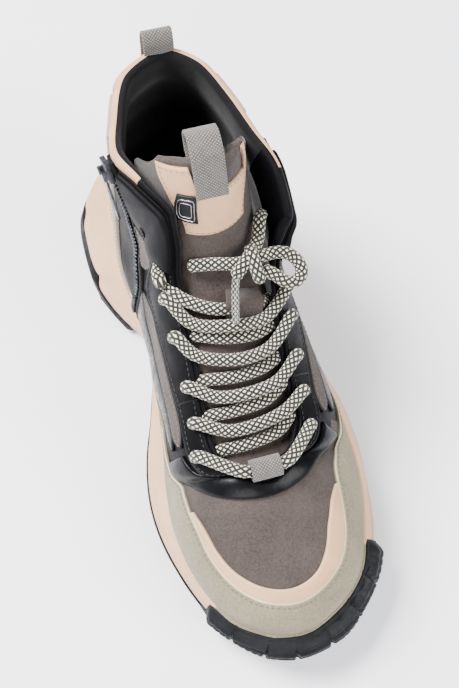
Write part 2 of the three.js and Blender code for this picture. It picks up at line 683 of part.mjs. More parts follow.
// The toe bumper runs over these rows of the outline
const BUMPER_IN = -2.9;
const BUMPER_OUT = 3.4;
const signedRow = (row) => (row > SOLE_LINE.length / 2 ? row - SOLE_LINE.length : row);
function bumperShare(row) {
  const r = signedRow(row);
  return ease((r - BUMPER_IN) / 0.5 + 1) * ease((BUMPER_OUT - r) / 0.5 + 1);
}

// Notched rubber wall in front of the toe, from the outsole up to the rim
function bumperWall() {
  const steps = 22;
  const levels = [0.02, 0.6, 0.98];
  const thickness = [BUMPER, BUMPER + 0.5, BUMPER * 0.7];
  const points = [];
  for (let i = 0; i <= steps; i += 1) {
    const row = mix(BUMPER_IN, BUMPER_OUT, i / steps);
    const end = ease(Math.min(i, steps - i) / 2);
    const block = i % 2 === 0 ? 0 : -BUMPER_RIDGE;
    const foot = OUTSOLE + GAP;
    const topShare = mix(0.62, 1, end);
    const inner = levels.map((l) => sidePoint(row, Math.max(l * topShare, 0.001), foot, GAP + RIB + 0.1));
    const outer = levels.map((l, k) => sidePoint(row, Math.max(l * topShare, 0.001), foot, thickness[k] + block));
    const lowered = (p) => [p[0], p[1], ground(p[0]) + OUTSOLE * 0.5];
    points.push(lowered(outer[0]), ...outer, ...inner.reverse(), lowered(inner[inner.length - 1]));
  }
  return sweptSolid(points, levels.length * 2 + 2);
}

// Cross channels of the tread between two places along the sole, in a chevron
function treadCuts(from, to) {
  const count = Math.floor((to - from) / TREAD_PITCH);
  const cuts = [];
  for (let k = 0; k < count; k += 1) {
    const x = from + (k + 0.5) * TREAD_PITCH;
    [-1, 1].forEach((side) => {
      const box = new THREE.BoxGeometry(TREAD_WIDTH, BALL_WIDTH * 0.6, TREAD_DEPTH * 2);
      const turn = new THREE.Matrix4().makeRotationZ(side * 0.35);
      const place = new THREE.Matrix4().makeTranslation(x, side * BALL_WIDTH * 0.42, ground(x));
      cuts.push(fromGeometry(box, place.multiply(turn)));
    });
  }
  return join(cuts);
}

// Block that keeps the sole between two places along it
function slab(from, to) {
  const box = new THREE.BoxGeometry(to - from, BALL_WIDTH * 2, COLLAR_HEIGHT * 2);
  return fromGeometry(box, new THREE.Matrix4().makeTranslation((from + to) / 2, 0, 0));
}

// Tongue section: half axes, wrap and frame at a share of its length
function tongueFrame(share) {
  const lines = TONGUE.map((r) => [
    r.at * LENGTH, level(r.height), r.halfWidth * BALL_WIDTH, r.depth * BALL_WIDTH, (r.wrap * Math.PI) / 180, r.thick,
  ]);
  const [x, z, halfWidth, depth, wrap, thick] = along(lines, share);
  const ahead = along(lines, Math.min(share + 0.01, 1));
  const behind = along(lines, Math.max(share - 0.01, 0));
  const tangent = unit([ahead[0] - behind[0], 0, ahead[1] - behind[1]]);
  return { centre: [x, 0, z], out: [tangent[2], 0, -tangent[0]], halfWidth, depth, wrap, thick };
}

// Point of the tongue: share along it, across from -1 (inner side) to 1, and depth under its face
function tonguePoint(share, across, under = 0) {
  const f = tongueFrame(share);
  const angle = across * f.wrap;
  const thin = mix(1, 0.45, ease((Math.abs(across) - 0.6) / 0.4));
  const shrink = under * thin;
  const y = (f.halfWidth - shrink) * Math.sin(angle);
  const sink = f.depth - (f.depth - shrink) * Math.cos(angle);
  return add([f.centre[0], y, f.centre[2]], f.out, -sink);
}

// Closed sheet between two depths of the tongue, over a span of it
function tongueSheet(span, acrossSpan, lowAt, highAt, steps, across) {
  const points = [];
  for (let i = 0; i <= steps; i += 1) {
    const share = mix(span[0], span[1], i / steps);
    const row = (depthAt, reverse) => {
      const line = range(across + 1).map((k) => {
        const a = mix(acrossSpan[0], acrossSpan[1], k / across);
        return tonguePoint(share, a, depthAt(share));
      });
      return reverse ? line.reverse() : line;
    };
    points.push(...row(highAt, false), ...row(lowAt, true));
  }
  return sweptSolid(points, (across + 1) * 2);
}

// Bent strip of webbing that stands over an edge: a path in the XZ plane, extruded across
function webbingArch(path, width, centreY) {
  const curve = new THREE.CatmullRomCurve3(path.map(([x, z]) => new THREE.Vector3(x, 0, z)), false, 'centripetal');
  const line = curve.getPoints(12);
  const side = (offset) => line.map((p, i) => {
    const q = line[Math.min(i + 1, line.length - 1)];
    const o = line[Math.max(i - 1, 0)];
    const t = unit([q.x - o.x, 0, q.z - o.z]);
    return new THREE.Vector2(p.x - t[2] * offset, p.z + t[0] * offset);
  });
  const outline = [...side(WEBBING_THICKNESS / 2), ...side(-WEBBING_THICKNESS / 2).reverse()];
  return acrossBoot(new THREE.Shape(outline), width, [0, centreY, 0]);
}

// Shape drawn in the XZ plane and extruded along Y, centred on a point
function acrossBoot(shape, width, centre) {
  const strip = new THREE.ExtrudeGeometry(shape, { depth: width, bevelEnabled: false });
  const stand = new THREE.Matrix4().makeRotationX(Math.PI / 2);
  const move = new THREE.Matrix4().makeTranslation(centre[0], centre[1] + width / 2, centre[2]);
  return fromGeometry(strip, move.multiply(stand));
}

// Finish of each piece
const finish = (color, roughness, metalness = 0) => new THREE.MeshStandardMaterial({ color, roughness, metalness });
const RUBBER = finish(0x1c1d20, 0.7);
const FOAM = finish(0xdac6b2, 0.75);
const GREIGE_SUEDE = finish(0xa59f90, 0.95);
const TAUPE_SUEDE = finish(0x7d7069, 0.95);
const PEACH_LEATHER = finish(0xe0c8b4, 0.6);
const BLACK_LEATHER = finish(0x2b292e, 0.5);
const GLOSS_LEATHER = finish(0x17181b, 0.25);
const GREY_STRAP = finish(0xb9b3a6, 0.85);
const WEB = finish(0x97928a, 0.9);
const ROPE = finish(0xbcb8a8, 0.9);
const LINING = finish(0x121216, 0.95);
const METAL = finish(0x8d8f92, 0.35, 0.8);

const boot = new THREE.Group();
boot.position.x = -HEEL_CENTRE;

function place(name, solid, material) {
  const mesh = solid.getMesh();
  const geometry = new THREE.BufferGeometry();
  geometry.setAttribute('position', new THREE.BufferAttribute(mesh.vertProperties, 3));
  geometry.setIndex(new THREE.BufferAttribute(mesh.triVerts, 1));
  geometry.computeVertexNormals();
  const piece = new THREE.Mesh(geometry, material);
  piece.name = name;
  boot.add(piece);
  return piece;
}

// Lace holes through the eyestays and the upper
function holeAt(station, height) {
  const n = new THREE.Vector3(...normal(station, height));
  const turn = new THREE.Quaternion().setFromUnitVectors(new THREE.Vector3(0, 1, 0), n);
  const at = new THREE.Vector3(...face(station, height));
  const pin = new THREE.CylinderGeometry(EYELET / 2, EYELET / 2, 14, 6);
  return fromGeometry(pin, new THREE.Matrix4().compose(at, turn, new THREE.Vector3(1, 1, 1)));
}
const holes = join([
  ...EYELETS.flatMap((e) => [holeAt(e.inStation, e.inHeight), holeAt(e.outStation, e.outHeight)]),
  holeAt(TOP_HOLE.station, TOP_HOLE.height),
  holeAt(-TOP_HOLE.station, TOP_HOLE.height),
]);

// Sole
const clearOfUpper = closedForm(GAP);
const midsoleRaw = midsoleForm(0);
const midsoleGrown = midsoleForm(GAP);
const HEEL_END = 0.335 * LENGTH;
const FOREFOOT_START = 0.575 * LENGTH;
const outsole = outsoleForm();
const forefoot = outsole.intersect(slab(FOREFOOT_START, LENGTH * 1.2)).add(bumperWall());
const heelRubber = outsole.intersect(slab(-LENGTH * 0.1, HEEL_END));
const tread = treadCuts(FOREFOOT_START, LENGTH * 0.95);
place('outsole_forefoot', forefoot.subtract(tread), RUBBER);
place('outsole_heel', heelRubber.subtract(treadCuts(LENGTH * 0.21, HEEL_END)), RUBBER);
place('midsole', midsoleRaw.subtract(clearOfUpper), FOAM);

// Upper and insole
place('upper', shell(UPPER_SKIN, wallAt).subtract(holes), LINING);
const insoleRing = (lift) => range(COLUMNS).map((i) => {
  const station = i / ROW_STEPS;
  const p = add(face(station, 0), normal(station, 0), -(WALL + 2 * GAP));
  return [p[0], p[1], smooth(BASE_LINE, station)[2] + lift];
});
const insoleFaces = grid((i, j) => insoleRing(j * INSOLE)[i], COLUMNS, 1);
place('insole', toSolid({
  points: insoleFaces.points,
  faces: [...insoleFaces.faces, ...ringCap(0, COLUMNS, false), ...ringCap(COLUMNS, COLUMNS, true)],
}), LINING);

// Panels: the layer between two forms of the upper, cut to their outlines
const layer = closedForm(GAP + OVERLAY).subtract(clearOfUpper);
const zipChannel = zipBar(ZIP_TAPE / 2 + GAP, CUT_BELOW, CUT_ABOVE);
const onUpper = layer.subtract(midsoleGrown);
const panel = (cutter) => onUpper.intersect(cutter);

const mudguardCutter = spanCutter(MUDGUARD, 22);
const GAP_SHARE = 0.008;        // about GAP, as a share of the height at the toe
const raised = MUDGUARD.map((r) => ({ ...r, high: r.high + GAP_SHARE }));
place('toe_mudguard', panel(mudguardCutter), GREIGE_SUEDE);
place('toe_trim', panel(spanCutter(TOE_TRIM, 12, 1)).subtract(spanCutter(raised, 22)), PEACH_LEATHER);
place('vamp_band', panel(bandCutter()), GLOSS_LEATHER);
place('eyestay_inner', panel(spanCutter(EYESTAY_IN, 14)).subtract(zipChannel).subtract(holes), BLACK_LEATHER);
place('eyestay_outer', panel(spanCutter(EYESTAY_OUT, 14)).subtract(holes), BLACK_LEATHER);
place('side_stripe_inner', panel(spanCutter(STRIPE, 7, 1)), TAUPE_SUEDE);
place('side_stripe_outer', panel(spanCutter(STRIPE, 7, 1, -1)), TAUPE_SUEDE);
place('side_insert_inner', largest(panel(spanCutter(INSERT, 7, 1)).subtract(zipChannel)), GLOSS_LEATHER);
place('side_insert_outer', panel(spanCutter(INSERT, 7, 1, -1)), GLOSS_LEATHER);
place('side_leaf_inner', panel(spanCutter(LEAF, 5, 1)).subtract(zipChannel), TAUPE_SUEDE);
place('ankle_strap_inner', panel(strapCutter()).subtract(zipChannel), GREY_STRAP);
place('ankle_strap_outer', panel(strapCutter(-1)), GREY_STRAP);
place('heel_quarter', panel(spanCutter(QUARTER, 14, 2)), BLACK_LEATHER);
place('heel_counter', panel(spanCutter(COUNTER, 8, 2)), FOAM);
place('collar_back', panel(spanCutter(COLLAR_BACK, 8, 1)), PEACH_LEATHER);

// Zip: tape in the same layer, then the closed teeth, the slider and its pull tab
const zipInLayer = zipBar(ZIP_TAPE / 2, CUT_BELOW, CUT_ABOVE);
place('zip_tape', panel(zipInLayer), LINING);
const onPanels = 2 * GAP + OVERLAY + 0.3;   // lift of what lies on the layer of panels
const teethHigh = onPanels + ZIP_TEETH_HEIGHT;
const SLIDER_SHARE = 0.075;     // of the zip's length, from the collar
place('zip_teeth', zipBar(ZIP_TEETH / 2, onPanels, teethHigh, 0.155, 0.94).subtract(midsoleGrown), METAL);

// Frame on the zip under the slider: along the zip downwards, out of the upper, and across
function zipFrame(share) {
  const [station, height] = zipPlace(share);
  const out = new THREE.Vector3(...normal(station, height));
  const down = new THREE.Vector3(...minus(face(...zipPlace(share + 0.03)), face(...zipPlace(Math.max(share - 0.03, 0)))));
  down.addScaledVector(out, -down.dot(out)).normalize();
  const side = new THREE.Vector3().crossVectors(out, down);
  return new THREE.Matrix4().makeBasis(down, side, out).setPosition(new THREE.Vector3(...face(station, height)));
}
const sliderFrame = zipFrame(SLIDER_SHARE);
const block = (length, width, height, x, y, z) => fromGeometry(
  new THREE.BoxGeometry(length, width, height),
  new THREE.Matrix4().makeTranslation(x, y, z),
);
const LUG = 1.6;
const sliderBody = block(SLIDER_LENGTH, SLIDER_WIDTH, SLIDER_HEIGHT * 0.6, 0, 0, onPanels + SLIDER_HEIGHT * 0.3);
const lugHeight = SLIDER_HEIGHT * 0.7;
const lugs = [-1, 1].map((s) => block(
  4, LUG, lugHeight, 1, s * (TAB_WIDTH / 2 + GAP + LUG / 2), onPanels + SLIDER_HEIGHT * 0.55 + lugHeight / 2,
));
place('zip_slider', join([sliderBody, ...lugs]).transform(sliderFrame.toArray()), METAL);
const tabLift = onPanels + SLIDER_HEIGHT * 0.6 + GAP + 0.2 + TAB_THICKNESS / 2;
const TAB_PIVOT = [1, 0, tabLift];
const tabBody = block(TAB_LENGTH, TAB_WIDTH, TAB_THICKNESS, TAB_LENGTH / 2, 0, 0);
const tabSlot = block(TAB_LENGTH * 0.5, TAB_WIDTH * 0.36, TAB_THICKNESS * 2, TAB_LENGTH * 0.6, 0, 0);
const tabPlace = sliderFrame.clone().multiply(new THREE.Matrix4().makeTranslation(...TAB_PIVOT));
place('zip_pull_tab', tabBody.subtract(tabSlot).transform(tabPlace.toArray()), METAL);

// Tongue with its label, badge and keeper
const thickAt = (share) => tongueFrame(share).thick;
place('tongue', tongueSheet([0, 1], [-1, 1], thickAt, () => 0, 14, 8), TAUPE_SUEDE);
const on = (low, high) => [() => -low, () => -high];
const labelLow = GAP + 0.4;
const labelFaces = on(labelLow, labelLow + LABEL);
place('tongue_label', tongueSheet([0.67, 0.9], [-0.48, 0.5], ...labelFaces, 4, 6), PEACH_LEATHER);
const badgeLow = labelLow + LABEL + GAP + 0.2;
const badgeFaces = on(badgeLow, badgeLow + BADGE);
place('label_badge', tongueSheet([0.735, 0.865], [-0.4, -0.17], ...badgeFaces, 2, 2), RUBBER);
const keeperLow = GAP + 0.1;
place('lace_keeper', tongueSheet([0.395, 0.49], [0.02, 0.58], ...on(keeperLow, keeperLow + LABEL), 3, 4), TAUPE_SUEDE);

// Webbing: pull loops over the tongue's top and the collar's back, and a ring for the first bar of the lace.
// The loops' stops are in webbing widths from the edge that each stands over, ahead and up.
const WEB_EASE = 0.4;           // more room beside the webbing than GAP
const webPath = ({ centre, out }, stops) => stops.map(([ahead, up]) => [
  centre[0] + (ahead * out[0] - up * out[2]) * WEBBING,
  centre[2] + (ahead * out[2] + up * out[0]) * WEBBING,
]);
const tongueTop = tongueFrame(1);
const legAhead = (WEBBING_THICKNESS / 2 + GAP + 0.5) / WEBBING;
const legBehind = (tongueTop.thick + WEBBING_THICKNESS / 2 + GAP + 3.7) / WEBBING;
place('tongue_pull_loop', webbingArch(webPath(tongueTop, [
  [legAhead, -.667], [legAhead + .02, -.133], [.107, .267], [-.333, .70], [-.80, .60], [-.86, .133],
  [-legBehind, -.333],
]), WEBBING, 1), WEB);
const outside = (2 * GAP + OVERLAY + WEBBING_THICKNESS / 2 + 1.3) / WEBBING;
const inside = (PADDING + GAP + WEBBING_THICKNESS / 2 + 3.4) / WEBBING;
place('heel_pull_loop', webbingArch(webPath({ centre: face(17, 1), out: [1, 0, 0] }, [
  [-outside - .04, -.733], [-outside, -.067], [-outside + .10, .533], [.10, .867], [inside - .10, .533],
  [inside, -.067], [inside + .04, -.60],
]), WEBBING, -1), WEB);
const ringHole = LACE / 2 + GAP + WEB_EASE;
const ringOutside = ringHole + WEBBING_THICKNESS;
const ringCentre = add(face(5, 1), [1, 0, ringOutside + 2 * GAP]);
const ringShape = new THREE.Shape(polygon(ringOutside, 14));
ringShape.holes.push(new THREE.Path(polygon(ringHole, 14)));
place('throat_loop', acrossBoot(ringShape, WEBBING, ringCentre), WEB);

// Lace: its first bar through the ring, then its crossings, which lie on the tongue inside the throat
const over = (station, height, lift) => add(face(station, height), normal(station, height), lift);
const barLift = onPanels + LACE / 2;
const firstRow = EYELETS[0];
const beside = (side) => add(ringCentre, [0, side * (WEBBING / 2 + 2), 0]);
place('lace_bar', rope([
  over(firstRow.inStation, firstRow.inHeight, barLift), over(-6.1, 0.93, barLift + 0.8), beside(-1),
  ringCentre, beside(1), over(6.1, 0.95, barLift + 0.8), over(firstRow.outStation, firstRow.outHeight, barLift),
], LACE, 10), ROPE);

// Shares of the tongue's length where the laces reach the sides, a row for each pair of holes
const LACE_ROWS = [.19, .25, .312, .395, .465, .52];
const LACE_REACH = 0.46;
const LACE_SAG = 0.02;          // how far a crossing hangs towards the toe
const laceLow = keeperLow + LABEL + GAP + LACE / 2 + 0.7;
const laceHigh = laceLow + LACE - LACE_SINK;

// One of the two laces, which zigzags from side to side and passes over the other at every second crossing
function zigzag(start) {
  const stops = LACE_ROWS.flatMap((share, i) => {
    const side = i % 2 ? -start : start;
    const here = tonguePoint(share, side * LACE_REACH, -laceLow);
    if (i === LACE_ROWS.length - 1) return [here];
    const middle = (share + LACE_ROWS[i + 1]) / 2 - LACE_SAG;
    return [here, tonguePoint(middle, 0, side > 0 ? -laceHigh : -laceLow)];
  });
  return rope(stops, LACE, 24, 6);
}
place('lace_crossings', zigzag(1).add(zigzag(-1)), ROPE);

// Lace above the top holes: two runs to the knot, one bow loop and the sleeved end. Each stop is a place
// on the tongue, as in tonguePoint, and a lift over it in lace diameters.
const STOP = ['share', 'across', 'lift'];
const RUN_INNER = table(STOP, [
  [.5561, -.346, .68], [.5586, -.198, .68], [.5581, -.027, .81], [.5504, .166, 1.18],
]);
const RUN_OUTER = table(STOP, [
  [.6035, .837, 1.34], [.6086, .737, 1.11], [.6037, .652, 1.15], [.5838, .565, 1.31], [.5647, .471, 1.44],
]);
const BOW_LOOP = table(STOP, [
  [.5517, .538, 2.32], [.5496, .627, 2.87], [.537, .703, 3.90], [.5111, .738, 4.89], [.4793, .738, 5.05],
  [.461, .683, 4.21], [.470, .602, 3.50], [.4976, .533, 3.06], [.5179, .498, 2.76],
]);
const SLEEVED_END = table(STOP, [
  [.5312, .151, 2.08], [.4838, .103, 2.26], [.4331, .073, 2.18], [.3983, .043, 2.06],
]);
const KNOT = { share: .5417, across: .363, lift: 1.95 };
const KNOT_SIZE = [1.13, 1.29, .774].map((radius) => radius * LACE);
const atStop = ({ share, across, lift }) => tonguePoint(share, across, -lift * LACE);

const knotPlace = new THREE.Matrix4().makeTranslation(...atStop(KNOT));
place('lace_knot', fromGeometry(
  new THREE.SphereGeometry(1, 10, 7),
  knotPlace.multiply(new THREE.Matrix4().makeScale(...KNOT_SIZE)),
), ROPE);
place('lace_run_inner', rope(RUN_INNER.map(atStop), LACE, 3), ROPE);
place('lace_run_outer', rope(RUN_OUTER.map(atStop), LACE, 4), ROPE);
place('lace_loop', rope(BOW_LOOP.map(atStop), LACE, 9), ROPE);
place('lace_tip', rope(SLEEVED_END.map(atStop), TIP_DIAMETER, 3), LINING);

export default boot;
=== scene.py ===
# High-top sport boot, left foot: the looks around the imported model.
# Shapes are worked out in millimetres from the back of the heel, X to the toe, Y to the outer side, Z up.
import math
import bpy
import numpy as np
from mathutils import Matrix, Vector


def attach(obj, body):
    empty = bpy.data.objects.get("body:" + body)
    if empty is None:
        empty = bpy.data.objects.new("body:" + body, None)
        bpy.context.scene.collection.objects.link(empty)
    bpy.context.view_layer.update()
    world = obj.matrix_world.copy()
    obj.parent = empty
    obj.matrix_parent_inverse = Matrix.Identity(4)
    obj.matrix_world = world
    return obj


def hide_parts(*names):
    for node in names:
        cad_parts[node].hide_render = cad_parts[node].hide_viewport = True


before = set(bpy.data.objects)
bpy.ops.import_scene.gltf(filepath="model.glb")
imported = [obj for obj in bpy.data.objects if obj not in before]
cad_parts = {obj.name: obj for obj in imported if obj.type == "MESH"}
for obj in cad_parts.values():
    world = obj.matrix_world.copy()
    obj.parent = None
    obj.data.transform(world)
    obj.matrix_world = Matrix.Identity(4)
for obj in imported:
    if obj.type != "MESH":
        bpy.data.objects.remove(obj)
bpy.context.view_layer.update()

# Sizes, as in the CAD source
LENGTH = 302.0
BALL_WIDTH = 114.0
INSTEP_HEIGHT = 84.0
COLLAR_HEIGHT = 150.0
HEEL_CENTRE = 55.0
WALL = 2.4
PADDING = 6.4
FLAP_WALL = 3.4
OVERLAY = 1.6                  # height of a sewn panel over the upper's face
OUTSOLE = 7.0
GAP = 0.3
LIP = 3.2
LACE = 6.2
TIP = 3.8
TOE_SPRING = 13.0
HEEL_BEVEL = 4.0
ARCH_RISE = 15.0
UNDER = -0.5                   # how far a piece reaches into what carries it

# Camera at the photograph's place, millimetres, and its direction
CAMERA = (298.9, -67.7, 572.3)
LOOK = (-0.4265, 0.0272, -0.9041)
RIGHT = (0.2217, 0.9722, -0.0753)
UP = (-0.8769, 0.2326, 0.4207)
FOCAL = 747.2                  # pixels of the photograph
PHOTO_CENTRE = (229.5, 344.0)
AIM = (314.5, 368.0)           # pixel at the middle of the boot
ZOOM = 1.42
SENSOR = 36.0
PHOTO_HEIGHT = 688.0

# Upper, a row for each section from the toe to the heel: place along, outer and inner base, base
# height, place of the top, outer and inner top, outer and inner height of the top, direction of
# arrival (forward, outer turn, inner turn, up), lean and the two handles
UPPER = np.array([
    [.974, .010, -.010, .345, .831, .000, .000, .857, .857, -.93, .00, .00, .36, .12, .17, .17],
    [.954, .175, -.167, .345, .831, .000, .000, .857, .857, -.80, -.52, -.52, .30, .12, .17, .17],
    [.907, .325, -.290, .345, .831, .000, .000, .857, .857, -.50, -.84, -.84, .18, .12, .17, .17],
    [.838, .400, -.368, .345, .831, .000, .000, .857, .857, .00, -1.0, -1.0, .00, .10, .17, .19],
    [.765, .447, -.400, .345, .785, .000, .000, .930, .930, .00, -1.0, -1.0, .00, .08, .19, .19],
    [.712, .460, -.395, .345, .742, .000, .000, 1.00, 1.00, .00, -1.0, -1.0, .05, .06, .20, .17],
    [.666, .456, -.377, .357, .722, .123, -.149, 1.00, 1.00, .00, -.95, -.95, .30, .05, .20, .13],
    [.613, .443, -.350, .370, .672, .193, -.193, 1.03, 1.03, .00, -.85, -.85, .50, .04, .23, .12],
    [.546, .412, -.316, .390, .593, .200, -.184, 1.18, 1.18, .00, -.75, -.78, .62, .03, .25, .12],
    [.474, .368, -.290, .430, .513, .220, -.175, 1.38, 1.38, .10, -.55, -.70, .70, .02, .28, .13],
    [.414, .333, -.290, .450, .450, .254, -.175, 1.53, 1.59, .15, -.25, -.60, .78, .03, .29, .15],
    [.368, .316, -.298, .465, .417, .316, -.158, 1.65, 1.85, .15, .15, -.45, .88, .05, .31, .17],
    [.328, .307, -.307, .476, .394, .360, -.167, 1.74, 2.11, .15, .45, -.25, .95, .08, .31, .20],
    [.282, .298, -.307, .488, .334, .350, -.254, 1.91, 2.14, .10, .40, -.05, 1.0, .10, .31, .24],
    [.229, .290, -.307, .488, .268, .298, -.325, 1.98, 2.08, .05, .10, .05, 1.0, .10, .31, .24],
    [.169, .268, -.290, .500, .189, .250, -.280, 1.96, 1.99, .00, -.05, .02, 1.0, .12, .29, .24],
    [.113, .185, -.215, .500, .116, .158, -.198, 2.00, 2.00, .06, -.02, -.02, 1.0, .16, .28, .24],
    [.086, .000, .000, .500, .079, .000, .000, 2.01, 2.01, .10, .00, .00, 1.0, .20, .27, .24],
])

# Sole outline: place along, outer side, inner side, height of the rim
SOLE = np.array([
    [1.000, .010, .010, .40], [.987, .175, -.120, .40], [.950, .307, -.237, .40], [.897, .425, -.342, .41],
    [.828, .490, -.417, .42], [.752, .518, -.465, .43], [.679, .535, -.470, .44], [.603, .518, -.430, .47],
    [.530, .456, -.360, .50], [.457, .412, -.307, .54], [.391, .400, -.307, .57], [.325, .400, -.386, .60],
    [.258, .408, -.465, .64], [.185, .412, -.482, .68], [.113, .390, -.460, .71], [.053, .316, -.360, .72],
    [.013, .175, -.220, .72], [.000, .000, .000, .72],
])

# Side of the midsole: level, reach towards the rim, rib (+) or groove (-)
SIDE = np.array([
    [.00, .00, -1.2], [.12, .00, 0.0], [.34, .02, 0.6], [.41, .06, -1.2], [.50, .08, 0.4], [.68, .28, 1.0],
    [.76, .44, -0.8], [.84, .58, 0.8], [1.0, 1.0, 0.0],
])

# Tongue: place along, height, half width, depth, wrap in degrees, thickness
TONGUE = np.array([
    [.760, .905, .260, .12, 34, 2.5], [.722, .955, .260, .13, 40, 2.5], [.672, 1.02, .262, .15, 49, 3.0],
    [.593, 1.18, .262, .20, 53, 3.4], [.513, 1.38, .254, .26, 57, 3.8], [.459, 1.55, .246, .32, 60, 4.2],
    [.423, 1.77, .246, .38, 66, 4.5], [.408, 1.95, .240, .45, 72, 4.2], [.398, 2.12, .240, .49, 76, 4.2],
    [.384, 2.30, .245, .45, 62, 4.2], [.366, 2.47, .246, .36, 44, 4.2],
])

# Panels on the upper: station, lower edge, upper edge
MUDGUARD = np.array([
    [-8.6, .02, .06], [-8.0, .02, .11], [-7.0, .02, .20], [-5.8, .02, .33], [-4.7, .02, .40],
    [-4.1, .02, .435], [-3.5, .02, .465], [-2.4, .02, .48], [-1.2, .02, .485], [0, .02, .48], [1, .02, .48],
    [1.8, .02, .49], [2.7, .02, .515], [3.4, .02, .53], [4.0, .02, .54], [4.5, .02, .52], [5.1, .02, .45],
    [5.8, .02, .37], [6.5, .02, .29], [7.2, .02, .20], [8.0, .02, .10], [8.6, .02, .05],
])
TOE_TRIM = np.array([
    [-4.2, .44, .458], [-3.5, .468, .53], [-2.4, .483, .565], [-1.2, .488, .592], [0, .483, .596],
    [1, .483, .605], [1.8, .493, .64], [2.7, .518, .668], [3.5, .535, .63], [3.95, .545, .562],
])
EYESTAY_IN = np.array([
    [-5.35, .885, .985], [-6.0, .75, .985], [-7.0, .73, .985], [-7.6, .72, .985], [-8.3, .645, .985],
    [-9.0, .575, .985], [-9.7, .555, .985], [-10.4, .51, .985], [-10.9, .57, .985], [-11.2, .685, .985],
    [-11.7, .69, .985], [-12.55, .685, .985], [-13.2, .785, .985], [-13.55, .93, .985],
])
EYESTAY_OUT = np.array([
    [5.5, .905, .985], [6.1, .775, .985], [7.0, .73, .985], [7.6, .72, .985], [8.3, .645, .985],
    [9.0, .575, .985], [9.7, .555, .985], [10.4, .51, .985], [11.0, .57, .985], [11.7, .66, .985],
    [12.5, .685, .985], [13.2, .785, .985], [13.9, .93, .985],
])
STRIPE = np.array([
    [-6.85, .61, .65], [-7.1, .535, .69], [-7.5, .50, .70], [-8.2, .435, .63], [-9.0, .345, .55],
    [-9.6, .345, .525], [-10.2, .405, .48], [-10.55, .425, .44],
])
INSERT = np.array([
    [-6.7, .44, .47], [-7.1, .37, .515], [-7.65, .28, .465], [-8.2, .13, .41], [-9.0, .03, .32],
    [-9.6, .03, .32], [-10.2, .03, .38], [-10.7, .20, .40],
])
LEAF = np.array([
    [-12.7, .60, .655], [-12.3, .56, .64], [-12.0, .53, .635], [-11.6, .50, .635], [-11.25, .53, .64],
    [-11.05, .59, .62],
])
QUARTER = np.array([
    [-14.05, .02, .085], [-14.5, .06, .22], [-15.05, .12, .50], [-15.5, .18, .74], [-16.0, .28, .71],
    [-16.5, .40, .69], [-17, .45, .68], [-17.5, .40, .69], [-18.0, .28, .71], [-18.5, .18, .74],
    [-18.95, .12, .50], [-19.5, .06, .22], [-19.95, .02, .085],
])
COUNTER = np.array([
    [-15.2, .02, .12], [-15.7, .02, .20], [-16.2, .02, .31], [-16.6, .02, .40], [-17, .02, .44],
    [-17.4, .02, .40], [-17.8, .02, .31], [-18.3, .02, .20], [-18.8, .02, .12],
])
COLLAR_BACK = np.array([
    [-15.72, .80, .985], [-16.2, .725, .985], [-17, .70, .985], [-17.8, .725, .985], [-18.28, .80, .985],
])
# Strap: station and height of its front edge, station and height of its rear edge
STRAP = np.array([
    [-10.9, .02, -11.3, .02], [-12.1, .088, -12.9, .02], [-13.3, .244, -13.9, .094],
    [-13.75, .456, -14.5, .256], [-14.2, .72, -15.0, .525], [-14.45, .87, -15.4, .77],
    [-14.6, .985, -15.6, .985],
])
# Glossy band: front row and side, rear row and side
BAND = np.array([
    [6.3, -.66, 6.6, -.37], [5.6, -.62, 6.1, -.31], [4.9, -.50, 5.5, -.24], [4.35, -.28, 4.85, -.14],
    [4.08, 0, 4.55, 0], [4.35, .22, 4.8, .13], [4.8, .36, 5.4, .22], [5.15, .48, 6.0, .29],
    [5.85, .56, 6.6, .34],
])
EYELETS_IN = [(-6.60, .82), (-7.40, .90), (-8.05, .90), (-8.95, .86), (-9.75, .86), (-10.5, .83)]
EYELETS_OUT = [(6.70, .87), (7.50, .88), (8.15, .86), (8.85, .85), (9.45, .85), (10.4, .86)]
TOP_HOLES = [(-12.25, .74), (12.25, .74)]
ZIP = np.array([
    [-13.95, .985], [-13.75, .906], [-13.4, .775], [-12.95, .656], [-12.5, .565], [-11.85, .475],
    [-11.15, .369], [-10.85, .231], [-10.75, .10],
])


# Small sums
def unit(a):
    a = np.asarray(a, float)
    return a / np.maximum(np.linalg.norm(a, axis=-1, keepdims=True), 1e-9)


def mix(a, b, t):
    return a + (b - a) * t


def ease(x):
    t = np.clip(x, 0, 1)
    return t * t * (3 - 2 * t)


def level(share):
    return np.minimum(share, 1) * INSTEP_HEIGHT + np.maximum(share - 1, 0) * (COLLAR_HEIGHT - INSTEP_HEIGHT)


def both_sides(outer, inner):
    return np.vstack([outer, inner[-2:0:-1]])


def around(values, at):
    at = np.asarray(at, float)
    i = np.floor(at).astype(int)
    return (at - i)[..., None], [values[(i + k) % len(values)] for k in (-1, 0, 1, 2)]


def smooth(values, at):
    """Smooth closed curve through rows of values."""
    t, (a, b, c, d) = around(values, at)
    return 0.5 * (2 * b + (c - a) * t + (2 * a - 5 * b + 4 * c - d) * t**2 + (3 * b - a - 3 * c + d) * t**3)


def slope(p, q):
    total = np.where(p + q == 0, 1, p + q)
    return np.where(p * q > 0, 2 * p * q / total, 0)


def steady(values, at):
    """Closed curve through rows of values that never swings past them."""
    t, (a, b, c, d) = around(values, at)
    m, n = slope(b - a, c - b), slope(c - b, d - c)
    start = (2 * t**3 - 3 * t**2 + 1) * b + (t**3 - 2 * t**2 + t) * m
    return start + (3 * t**2 - 2 * t**3) * c + (t**3 - t**2) * n


def along(values, share):
    """Smooth open curve through rows of values at a share from 0 to 1."""
    last = len(values) - 1
    at = np.minimum(np.clip(share, 0, 1) * last, last - 1e-9)
    full = np.vstack([2 * values[0] - values[1], values, 2 * values[-1] - values[-2]])
    return smooth(full, at + 1)


